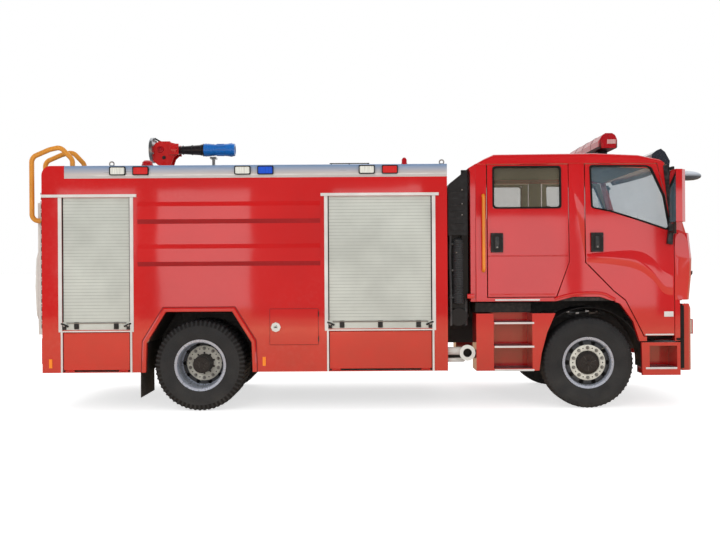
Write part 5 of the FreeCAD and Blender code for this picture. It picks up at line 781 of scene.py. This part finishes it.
def make_cab_trim():
    """Arch lips, sill strips, rear brackets and drip rails on the cab's sides."""
    for sign, side in SIDES:
        piece = Piece("cab_side_trim_" + side, "cab", CAB_RED)
        lip = curve_through([(2.196, 1.309), (2.3, 1.345), (2.45, 1.372), (2.6, 1.38), (2.76, 1.37),
                             (2.9, 1.3)], 6)
        piece.tube([(p.x, sign * (SKIN + 0.001), p.y - 0.022) for p in lip], 0.017, flat=0.6)
        piece.box((1.5, sign * (SKIN - 0.001), 1.27), (2.022, sign * (SKIN + 0.01), 1.29), TRIM_WHITE)
        piece.box((1.178, sign * 1.205, 1.3), (1.262, sign * 1.243, 1.354), bevel=0.006)
        drip = curve_through([(1.3, 2.866), (1.6, 2.874), (2.6, 2.876), (3.38, 2.872)], 6)
        piece.tube([(p.x, sign * (skin_y(2.87) + 0.002), p.y) for p in drip], 0.008, sides=8)
        piece.done()


def make_body_trim():
    """Shutter channels and latches, the service door's seam, and the foot and lamp frames of the roof band."""
    piece = Piece("shutter_fittings", "chassis", RUBBER_AND_SHADE)
    bar = -SHUTTER_Y - 0.006
    for tag, start, end in SHUTTERS:
        for x in (start, end - 0.012):
            piece.box((x, -SHUTTER_Y - 0.004, SHUTTER_BOTTOM), (x + 0.012, -SHUTTER_Y + 0.004, SHUTTER_TOP),
                      bevel=0.002)
        for x in (start + 0.165, end - 0.165) if tag == "rear" else (start + 0.16, (start + end) / 2, end - 0.16):
            piece.box((x - 0.028, bar - 0.01, 0.968), (x + 0.028, bar + 0.002, 1.05), BLACK, 0.004)
            piece.box((x - 0.016, bar - 0.022, 0.99), (x + 0.016, bar - 0.008, 1.03), BLACK, 0.005)
        for x, out in ((start + 0.022, 1), (end - 0.022, -1)):
            piece.box((x - 0.022, -SKIN - 0.006, 0.962), (x + 0.022, -SHUTTER_Y + 0.002, 1.012), BLACK, 0.005)
            piece.rod((x + out * 0.05, -SKIN - 0.004, 1.0), (x - out * 0.035, -SKIN - 0.004, 1.035), 0.011,
                      BLACK, 12)
            piece.rod((x, -SKIN - 0.014, 1.012), (x, -SHUTTER_Y, 1.012), 0.014, ALLOY, 14)
        piece.rod((start + 0.05, bar - 0.006, 1.04), (end - 0.05, bar - 0.006, 1.04), 0.008, ALLOY, 12)
    piece.mirror().done()

    seam = Piece("service_door_seam", "chassis", SEAM_RED)
    door = rectangle(-1.124, 0.777, -0.564, 1.19)
    seam.ring(upright(rounded_loop(shrink(door, -0.006), 0.012), -SKIN - 0.0005),
              upright(rounded_loop(shrink(door, 0.002), 0.01), -SKIN - 0.0005), (0, -0.002, 0))
    seam.lathe([(0, 0.058), (0.004, 0.057), (0.006, 0.05), (0.006, 0.026), (0.001, 0.024), (0.001, 0)],
               (-1.057, -SKIN - 0.013, 0.98), (0, -1, 0), PIPE, 8)
    seam.box((-1.07, -SKIN - 0.026, 0.974), (-1.044, -SKIN - 0.012, 0.986), BLACK, 0.002)
    for z in (0.84, 1.13):
        seam.rod((-0.56, -SKIN - 0.004, z - 0.03), (-0.56, -SKIN - 0.004, z + 0.03), 0.006, BLACK, 10)
    seam.mirror().done()

    foot = Piece("band_foot", "chassis", TRIM_WHITE)
    foot.box((-3.2, -SKIN - 0.004, 2.752), (0.944, -SKIN + 0.002, 2.768))
    foot.mirror().done()

    lamps = Piece("band_lamp_frames", "chassis", RUBBER_AND_SHADE)
    for x in BAND_LAMP_XS:
        lens_edge = rectangle(x - 0.088, 2.765, x + 0.088, 2.855)
        lamps.ring(upright(rounded_loop(shrink(lens_edge, -0.006), 0.016), -SKIN),
                   upright(rounded_loop(shrink(lens_edge, 0.005), 0.012), -SKIN), (0, -0.024, 0))
    lamps.mirror().done()


def make_roof_details():
    """Lifting eyes, beacons and a cable rail along the right roof edge."""
    piece = Piece("roof_eyes", "chassis", ALLOY)
    for x in (-2.975, 0.892):
        eye = [(x + 0.026 * math.cos(a), -1.18, 2.9 + 0.026 * math.sin(a))
               for a in turns(20)]
        piece.tube(eye, 0.008, sides=8, closed=True)
        piece.box((x - 0.02, -1.205, ROOF_EDGE_Z), (x + 0.02, -1.155, ROOF_EDGE_Z + 0.016), bevel=0.004)
    piece.lathe([(0, 0.066), (0.02, 0.07), (0.024, 0.062), (0.052, 0.06), (0.07, 0.04), (0.076, 0.0)],
                (-2.56, -1.17, ROOF_EDGE_Z), (0, 0, 1), BEACON, 28)
    piece.lathe([(0, 0.036), (0.014, 0.036), (0.018, 0.031), (0.06, 0.03), (0.082, 0.016), (0.086, 0.0)],
                (0.453, -1.205, ROOF_EDGE_Z), (0, 0, 1), BEACON, 24)
    piece.tube([(x, -1.19, 2.889) for x in (-0.42, -0.2, 0.045)], 0.006, BLACK, 8)
    for x in (-0.4, -0.19, 0.03):
        piece.box((x - 0.008, -1.196, ROOF_EDGE_Z), (x + 0.008, -1.184, 2.892), BLACK, 0.002)
    piece.done()


def make_arches_and_gap():
    """Rear arch lips, dark sheets as painted shade behind the wheels, in the gap behind the cab and under it, step
    treads, and the fittings in gap and front arch.
    """
    lip = Piece("arch_lips", "chassis", RED)
    outline = [(-0.622, 0.462), (-0.61, 0.805), (-0.386, 1.166), (0.386, 1.166), (0.61, 0.805), (0.622, 0.462)]
    rows = []
    for shift, out in ((0.0, 0.002), (0.0, 0.012), (0.006, 0.016), (0.034, 0.016), (0.048, 0.006),
                       (0.049, 0.0015), (0.059, 0.001)):
        rows.append([(ARCH_X + x * (1 + shift / 0.6), -SKIN - out,
                      z + shift * (1.0 if z > 1 else 0.4 if z > 0.6 else 0)) for x, z in outline])
    lip.grid(rows[:-1])
    lip.grid(rows[-2:], SEAM_RED)
    lip.mirror().done(20)

    # Dark sheets put where there is shade: painted shade behind the wheels, in the gap behind the cab and under it.
    dark = Piece("wheel_well_shade", "chassis", FRAME)
    dark.box((ARCH_X - 0.6, -0.506, 0.7), (ARCH_X + 0.6, -0.498, 1.15), bevel=0.002)
    dark.box((FRONT_AXLE_X - 0.6, -0.506, 0.74), (FRONT_AXLE_X + 0.62, -0.498, 1.235), bevel=0.002)
    dark.box((0.946, -0.56, 0.9), (1.192, -0.552, 2.6), bevel=0.002)
    for x in (ARCH_X - 0.54 + 0.18 * i for i in range(7)):
        dark.box((x - 0.008, -0.512, 0.72), (x + 0.008, -0.504, 1.14), bevel=0.002)
    dark.box((1.29, -0.56, 1.03), (1.96, -0.55, 1.235), bevel=0.002)
    dark.mirror().done()

    treads = Piece("step_treads", "chassis", TRIM_WHITE)
    for x0, x1, z in ((1.492, 1.955, 0.474), (1.492, 1.955, 0.746), (1.492, 1.955, 1.022), (3.252, 3.62, 0.487)):
        treads.box((x0, -1.2465, z - 0.024), (x1, -1.236, z), bevel=0.004)
        treads.box((x0 + 0.004, -1.238, z - 0.012), (x1 - 0.004, -1.06, z - 0.0005), TREAD_PLATE, 0.002)
    treads.box((3.66, -1.214, 0.475), (3.699, -1.15, 1.215), RUBBER_AND_SHADE, 0.01)
    treads.box((3.657, -1.2475, 0.475), (3.702, -1.2, 1.205), RUBBER_AND_SHADE, 0.004)
    treads.box((3.61, -1.258, 0.8), (3.672, -1.246, 0.826), RUBBER_AND_SHADE, 0.004)
    treads.rod((3.672, -1.262, 0.812), (3.672, -1.24, 0.812), 0.018, RUBBER_AND_SHADE, 14)
    treads.mirror().done()

    gap = Piece("intake_fittings", "chassis", BLACK)
    gap.box((1.12, -1.184, 1.3), (1.196, -1.142, 2.805), RUBBER_AND_SHADE, 0.002)
    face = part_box("air_intake")[0].y
    for x, z in ((1.129, 2.573), (1.129, 2.41), (1.129, 2.28), (1.062, 1.838)):
        gap.lathe([(0, 0.008), (0.005, 0.008), (0.007, 0.005), (0.007, 0)], (x, face + 0.001, z), (0, -1, 0),
                  ALLOY, 10)
    for z in (2.09 + 0.075 * i for i in range(7)):
        gap.box((1.00, face - 0.004, z), (1.16, face + 0.002, z + 0.012))
    bellows = [(0, 0)]
    for rise in (0.02 + 0.025 * i for i in range(30)):
        bellows += [(rise, 0.066), (rise + 0.008, 0.074), (rise + 0.016, 0.066)]
    gap.lathe(bellows + [(0.8, 0)], (1.09, -1.135, 1.22), (0, 0, 1), HOSE_AND_HIGHLIGHT, 24)
    for x, y, r in ((0.995, -1.16, 0.016), (1.175, -1.1, 0.022), (0.985, -0.98, 0.028), (1.165, -0.9, 0.03)):
        gap.tube([(x, y, 0.98), (x, y, 1.4), (x - 0.01, y + 0.01, 1.8), (x, y, 2.06)], r, HOSE_AND_HIGHLIGHT, 12)
    for z in (1.3, 1.62, 1.93):
        gap.box((0.97, -1.17, z), (1.19, -1.15, z + 0.022))
        for x in (1.01, 1.15):
            gap.lathe([(0, 0.012), (0.01, 0.012), (0.01, 0)], (x, -1.17, z + 0.01), (0, -1, 0), HOSE_AND_HIGHLIGHT, 6)
    gap.done()

    parts = Piece("front_arch_parts", "chassis", HOSE_AND_HIGHLIGHT)
    for x, y, z, material in ((2.34, -0.8, 1.12, HOSE_AND_HIGHLIGHT), (2.44, -0.86, 1.105, ALLOY), (2.58, -0.78, 1.125, HOSE_AND_HIGHLIGHT),
                              (2.7, -0.84, 1.11, ALLOY)):
        end = (x + 0.09, y + 0.02, z + 0.01)
        parts.rod((x, y, z), end, 0.022, material, 14)
        parts.nut(end, (1, 0.2, 0), 0.014, 0.02, ALLOY)
    for y, z, bend in ((-0.9, 1.1, 0.03), (-0.88, 1.13, -0.02), (-0.83, 1.09, 0.02)):
        parts.tube([(2.2, y + 0.3, z - 0.02), (2.3, y + 0.08, z + bend), (2.48, y, z),
                    (2.66, y - 0.02, z + bend), (2.84, y + 0.1, z), (2.92, y + 0.3, z - 0.03)], 0.009)
    for x, y, z in ((2.4, -0.93, 1.115), (2.52, -0.92, 1.095), (2.63, -0.95, 1.12)):
        parts.box((x, y, z), (x + 0.04, y + 0.02, z + 0.02), TRIM_WHITE)
    parts.box((2.18, -0.62, 1.04), (2.96, -0.56, 1.1), bevel=0.006)
    parts.mirror().done()


def make_monitor_parts():
    """Bolted flange, caps and cable on the monitor's body, and rings and grips on its barrel."""
    low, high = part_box("monitor_body")
    body = Piece("monitor_fittings", "monitor_swivel_body", ALLOY)
    centre = Vector((low.x + 0.002, 0, 3.222))
    body.lathe([(0, 0.164), (-0.006, 0.16), (-0.006, 0.062), (0.0, 0.06)], centre, (1, 0, 0), sides=40)
    for a in turns(8, 0.5):
        body.nut(centre + Vector((0.036, math.cos(a) * 0.135, math.sin(a) * 0.135)), (1, 0, 0), 0.012, 0.022)
    for sign, _ in SIDES:
        for profile, x, y, z, material, sides in (
            ([(0, 0.046), (0.01, 0.044), (0.012, 0.038), (0.012, 0.026), (0.002, 0.024), (0.002, 0)],
             -2.66, 0.085, 3.225, BEACON, 28),
            ([(0, 0.04), (0.008, 0.04), (0.014, 0.02), (0.016, 0)], BARREL_X, 0.115, BARREL_Z, RED, 24),
            ([(0, 0.024), (0.004, 0.024), (0.005, 0)], -2.612, 0.085, 3.118, BLACK, 20),
        ):
            body.lathe(profile, (x, sign * y, z), (0, sign, 0), material, sides)
    body.tube([(low.x + 0.02, 0, high.z - 0.04), (low.x + 0.05, -0.02, high.z - 0.012),
               (low.x + 0.13, -0.03, high.z - 0.06), (-2.6, -0.03, high.z - 0.075)], 0.011, BLACK)
    body.box((-2.7, -0.05, 3.318), (-2.54, 0.05, 3.336), RED, 0.006)
    body.done()

    barrel = Piece("barrel_rings", "monitor_tube", BLACK)
    for x, r, rise, material in (
        (0.1, 0.056, 0.004, BLACK), (0.22, 0.062, 0.004, BLACK), (0.34, 0.069, 0.004, BLACK),
        (0.4, 0.083, 0.003, NOZZLE), (0.5, 0.076, 0.003, NOZZLE), (0.66, 0.078, 0.003, NOZZLE),
        (0.735, 0.088, 0.003, NOZZLE),
    ):
        barrel.lathe([(x - 0.01, r - 0.006), (x - 0.006, r + rise), (x + 0.006, r + rise),
                      (x + 0.01, r - 0.006)], (BARREL_X, 0, BARREL_Z), (1, 0, 0), material)
    for a in turns(12):
        out = Vector((0, math.cos(a), math.sin(a)))
        barrel.rod(Vector((BARREL_X + 0.54, 0, BARREL_Z)) + out * 0.075,
                   Vector((BARREL_X + 0.64, 0, BARREL_Z)) + out * 0.077, 0.005, NOZZLE, 6)
    barrel.done()


def cushion(piece, low, high, turn=None, channels=()):
    """A crowned pad: thin at its rim, its sides drawn in between the corners, with sewn channels."""
    low, high = Vector(low), Vector(high)
    half = (high - low) / 2
    pad = bmesh.new()
    bmesh.ops.create_cube(pad, size=2.0)
    bmesh.ops.subdivide_edges(pad, edges=pad.edges[:], cuts=15, use_grid_fill=True)
    for vert in pad.verts:
        u, v, w = vert.co
        corner = (abs(u) ** 7 + abs(v) ** 7) ** (1 / 7)
        pull = max(abs(u), abs(v)) / corner if corner else 1.0
        u, v = u * pull * (1 - 0.035 * (1 - v * v)), v * pull * (1 - 0.035 * (1 - u * u))
        crown = 0.56 + 0.44 * (1 - min(1.0, abs(u)) ** 4) * (1 - min(1.0, abs(v)) ** 4)
        groove = sum(0.16 * math.exp(-((v - at) / 0.035) ** 2) for at in channels)
        side = 1 - 0.04 * w * w
        vert.co = Vector((u * half.x * side, v * half.y * side, w * half.z * (crown - groove)))
    pad.transform(Matrix.Translation((low + high) / 2) @ (turn.to_4x4() if turn else Matrix()))
    shape = bpy.data.meshes.new("pad")
    pad.to_mesh(shape)
    pad.free()
    piece.mesh.from_mesh(shape)
    bpy.data.meshes.remove(shape)


def make_seats():
    """Two front seats and the crew bench, as padded cushions on plain bases."""
    pads = Piece("seat_pads", "cab", FABRIC)
    lean, bench_lean = (Matrix.Rotation(math.radians(angle), 3, "Y") for angle in (-97, -94))
    for y in (-SEAT_Y, SEAT_Y):
        cushion(pads, (2.56, y - 0.225, 1.628), (3.05, y + 0.225, 1.738), None, (-0.45, 0.45))
        cushion(pads, (2.255, y - 0.215, 1.97), (2.925, y + 0.215, 2.074), lean, (-0.45, 0.45))
        cushion(pads, (2.45, y - 0.13, 2.375), (2.65, y + 0.13, 2.465), lean)
    for y in (-0.715, 0.0, 0.715):
        cushion(pads, (1.35, y - 0.345, 1.628), (1.836, y + 0.345, 1.738), None, (0.0,))
        cushion(pads, (1.08, y - 0.335, 2.01), (1.7, y + 0.335, 2.11), bench_lean, (0.0,))
    thing = pads.done(60)
    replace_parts(thing, "seats")

    bases = Piece("seat_bases", "cab", DARK_TRIM)
    for y in (-SEAT_Y, SEAT_Y):
        bases.box((2.6, y - 0.19, 1.324), (2.98, y + 0.19, 1.64), bevel=0.012)
        bases.rod((2.545, y - 0.21, 1.66), (2.545, y + 0.21, 1.66), 0.018, ALLOY, 14)
    bases.box((1.362, -1.06, 1.456), (1.77, 1.06, 1.64), bevel=0.012)
    bases.done()


def make_lamp_and_mirror_parts():
    """Seams and feet of the light bar, wipers and grille bars, the kerb mirror's case, and lamp bezels."""
    bar = Piece("light_bar_seams", "cab", BLACK)
    right_half = [(0.1, 0.0), (0.116, 0.024), (0.116, 0.092), (0.076, 0.16), (0.04, 0.182)]
    section = [(-0.1, 0.0)] + right_half + [(-x, z) for x, z in right_half[:0:-1]]
    for y in (-0.4, 0.0, 0.4):
        outer, inner = ([(LIGHT_X + x * wide, y - 0.004, LIGHT_Z + lift + z * tall) for x, z in section]
                        for wide, lift, tall in ((1.012, 0.002, 1.006), (0.97, 0.004, 0.97)))
        bar.ring(outer, inner, (0, 0.006, 0))
    for sign, _ in SIDES:
        bar.box((LIGHT_X - 0.02, sign * 0.7975, LIGHT_Z + 0.052), (LIGHT_X + 0.085, sign * 0.8035, LIGHT_Z + 0.105),
                LENS_CLEAR, 0.012)
        bar.box((LIGHT_X - 0.06, sign * 0.48 - 0.05, LIGHT_Z - 0.075), (LIGHT_X + 0.06, sign * 0.48 + 0.05, LIGHT_Z),
                bevel=0.006)
    bar.done()

    front = Piece("front_details", "cab", BLACK)
    for sign, _ in SIDES:
        front.rod((3.86, sign * 0.2, 2.066), (3.886, sign * 0.2, 2.066), 0.02)
        front.tube([(3.88, sign * 0.2, 2.066), (3.882, sign * 0.26, 2.088), (3.878, sign * 0.46, 2.118)], 0.008,
                   sides=8)
        front.tube([(3.874, sign * 0.14, 2.112), (3.874, sign * 0.34, 2.116), (3.866, sign * 0.6, 2.122),
                    (3.852, sign * 0.78, 2.128)], 0.007, RUBBER_AND_SHADE, 8)
    for i, bulge in enumerate((0.013, 0.0185, 0.024, 0.028, 0.03, 0.0315, 0.033)):
        z, x = 1.4 + 0.055 * i, 3.88 + bulge
        front.box((x - 0.016, -0.52, z), (x + 0.005, 0.52, z + 0.026), bevel=0.006)
    front.done()

    mirror = Piece("kerb_mirror_case", "cab", LIT_AND_SHADED_CASE)
    low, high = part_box("kerb_mirror")
    across = (low.y + high.y) / 2
    length = 0.312
    profile = [(0.0, 0.0), (0.003, 0.018), (0.014, 0.036), (0.045, 0.052), (0.1, 0.0585), (0.16, 0.0585),
               (0.22, 0.053), (0.27, 0.041), (0.298, 0.026), (0.308, 0.012), (0.31, 0.0)]
    mirror.lathe(profile, (high.x - length, 0, 0), (1, 0, 0))
    for vert in mirror.mesh.verts:
        share = (vert.co.x - high.x + length) / length
        vert.co.y = across + vert.co.y * 1.4
        vert.co.z = 2.732 - 0.008 * share + vert.co.z * (0.95 if vert.co.z > 0 else 1.0)
    mirror.tube([(low.x + 0.004, across + 0.03, 2.762), (3.57, across + 0.02, 2.772), (3.63, across, 2.76),
                 (3.672, across, 2.74)], 0.013, BLACK, 12)
    mirror.box((3.628, across - 0.03, 2.715), (3.668, across + 0.03, 2.772), BLACK, 0.008)
    mirror.box((low.x, across - 0.01, 2.738), (low.x + 0.03, across + 0.06, 2.786), BLACK, 0.006)
    thing = mirror.done()
    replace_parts(thing, "kerb_mirror")

    lamps = Piece("lamp_bezels", "chassis", BLACK)
    low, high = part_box("head_and_tail_lamps")
    for sign, _ in SIDES:
        tail, head = sign * 1.105, sign * 0.83
        for z in (0.655, 0.755):
            lamps.box((low.x - 0.003, tail - 0.083, z - 0.004), (low.x + 0.004, tail + 0.083, z + 0.004), bevel=0.002)
        outer, inner = ([(high.x, y, z) for y, z in rectangle(head - wide, 0.94 - tall, head + wide, 0.94 + tall)]
                        for wide, tall in ((0.138, 0.088), (0.124, 0.074)))
        lamps.ring(outer, inner, (-0.012, 0, 0), BUMPER_RED)
    for z in (0.98 + 0.1 * i for i in range(16)):
        lamps.box((BODY_REAR_X - 0.012, -1.236, z), (BODY_REAR_X + 0.002, -1.214, z + 0.05))
        lamps.rod((BODY_REAR_X - 0.014, -1.225, z + 0.06), (BODY_REAR_X - 0.014, -1.225, z + 0.085), 0.005, ALLOY, 8)
    lamps.done()


EASED = {
    0.002: "mudguards",
    0.003: "cab_sides door_crew_right door_crew_left door_cab_right door_cab_left body_sides roof_edge rear_ladder "
           "chassis_frame footboard_front_right footboard_front_left footboard_rear_right footboard_rear_left",
    0.004: "entry_steps inlet_pipe",
    0.006: "cab_front_panel cab_roof air_intake dashboard light_bar",
    0.008: "sun_visor monitor_body",
    0.01: "front_bumper",
    0.012: "engine_block",
}


def ease_edges(name, width):
    """Rounds a node's sharp edges a little, as pressed or painted metal has them."""
    thing = nodes[name]
    thing.modifiers.new("Weld", "WELD").merge_threshold = 0.00005
    bevel = thing.modifiers.new("Edges", "BEVEL")
    bevel.width = width
    bevel.segments = 2
    bevel.limit_method = "ANGLE"
    bevel.angle_limit = math.radians(38)
    bevel.harden_normals = True


# Cards that the paint mirrors, as low and high X, then low and high Z, all in one upright plane:
# dark ones, of which the tall ones lean back, and pale haze below the horizon, down to the sills.
CARD_Y = -21.2
CARDS = (
    (-60, 1.6, 4.5, 26), (1.6, 60, 4.6, 26), (-12.0, -10.6, 0, 4.5), (-8.0, -7.1, 0, 4.5), (-3.9, -1.0, 0, 4.5),
    (2.1, 3.3, 0, 4.6), (7.2, 7.6, 0, 4.6), (10.2, 11.4, 0, 4.6), (-1.0, 1.6, 0, 1.2),
)
HAZE = ((-7.1, -3.9, 0.35, 1.75), (3.3, 7.2, 0.5, 1.75), (7.6, 10.2, 0.3, 1.75))


def add_sheet(name, corners, material, mirrored_only=True):
    """A flat sheet of the studio."""
    mesh = bpy.data.meshes.new(name)
    mesh.from_pydata(corners, [], [(0, 1, 2, 3)])
    mesh.materials.append(material)
    thing = bpy.data.objects.new(name, mesh)
    bpy.context.scene.collection.objects.link(thing)
    if mirrored_only:
        thing.visible_camera = thing.visible_diffuse = thing.visible_shadow = False


def make_world():
    """Plain white where it is seen or mirrored, and a little dimmer where it lights the truck."""
    world = bpy.data.worlds.new("studio")
    bpy.context.scene.world = world
    finish = Finish(world, "Background")
    rays = finish.add("LightPath")
    seen = finish.maths("MAXIMUM", rays.outputs["Is Camera Ray"], rays.outputs["Is Glossy Ray"])
    seen = finish.maths("MAXIMUM", seen, rays.outputs["Is Transmission Ray"])
    finish.give({"Color": (1, 1, 1, 1), "Strength": finish.spread(seen, 0.72, 1.0, 0.0, 1.0)})


def make_floor():
    """A pale floor that glows towards the camera and looks tan in the paint."""
    finish = new_finish("floor_pale")
    tone = finish.mottled(finish.noise(0.4), rgb(226, 226, 226), rgb(222, 222, 222))
    rays = finish.add("LightPath")
    glossy = rays.outputs["Is Glossy Ray"]
    glow = finish.maths("MULTIPLY_ADD", glossy, 0.06,
                        finish.spread(rays.outputs["Is Camera Ray"], 0.0, 0.66, 0.0, 1.0))
    finish.give({"Base Color": finish.mix(glossy, tone, rgb(210, 176, 134)), "Roughness": 0.9,
                 "Specular IOR Level": 0.0, "Emission Color": (1, 1, 1, 1), "Emission Strength": glow})
    reach = 400
    add_sheet("studio_floor", [(x, y, 0) for x, y in rectangle(-reach, -reach, reach, reach)], finish.owner, False)


def make_cards():
    """Dark and pale cards across from the right side, and one overhead, for the paint to mirror."""
    dark = new_finish("card_dark")
    dark.give({"Base Color": dark.mottled(dark.noise(0.2), rgb(34, 30, 30), rgb(48, 44, 44)), "Roughness": 1.0})
    pale = new_finish("card_pale")
    pale.give({"Emission Color": pale.mottled(pale.noise(0.2), rgb(255, 255, 255), rgb(246, 246, 246)),
               "Emission Strength": 1.0, "Base Color": (0, 0, 0, 1), "Specular IOR Level": 0.0})
    for label, cards, finish in (("card", CARDS, dark), ("haze", HAZE, pale)):
        for i, (x0, x1, z0, z1) in enumerate(cards):
            lean = 0.35 * (z1 - z0) if z1 > 8 else 0.0
            corners = [(x, CARD_Y + (lean if z == z1 else 0.0), z) for x, z in rectangle(x0, z0, x1, z1)]
            add_sheet("%s_%d" % (label, i), corners, finish.owner)
    add_sheet("card_overhead", [(x, y, 24) for x, y in rectangle(-60, -19, 60, 2)], dark.owner)


def make_lamps():
    """Soft lamps, which the paint does not mirror."""
    for name, at, target, energy, size in (
        ("key", (-6, -15, 9), (-1, 0, 1), 580, 9),
        ("fill", (9, -14, 5), (2, 0, 1), 300, 7),
        ("low", (-2, -16, 1.8), (-1, 0, 0.9), 190, 5),
        ("back", (-2, 12, 10), (0, 0, 1), 300, 8),
    ):
        lamp = bpy.data.lights.new(name, "AREA")
        lamp.energy = energy
        lamp.size = size
        thing = bpy.data.objects.new(name, lamp)
        thing.visible_glossy = False
        thing.location = at
        thing.rotation_euler = (Vector(target) - Vector(at)).to_track_quat("-Z", "Y").to_euler()
        bpy.context.scene.collection.objects.link(thing)


def make_camera():
    """Ten metres from the near side, level, turned a little so that the truck rises forward."""
    camera = bpy.data.cameras.new("camera")
    camera.lens = 42.9
    camera.sensor_width = 36
    thing = bpy.data.objects.new("camera", camera)
    thing.location = (-0.072, -11.245, 1.64)
    level = Matrix.Rotation(math.radians(90), 4, "X")
    roll = Matrix.Rotation(math.radians(0.35), 4, "Y")
    thing.rotation_euler = (roll @ level).to_euler()
    bpy.context.scene.collection.objects.link(thing)
    bpy.context.scene.camera = thing


bpy.context.scene.view_settings.view_transform = "Standard"
make_camera()
make_world()
make_floor()
make_cards()
make_lamps()
dress_nodes()
make_tyres()
make_wheel_fittings()
make_door_trim()
make_cab_trim()
make_body_trim()
make_roof_details()
make_arches_and_gap()
make_monitor_parts()
make_seats()
make_lamp_and_mirror_parts()
for width, names in EASED.items():
    for name in names.split():
        ease_edges(name, width)
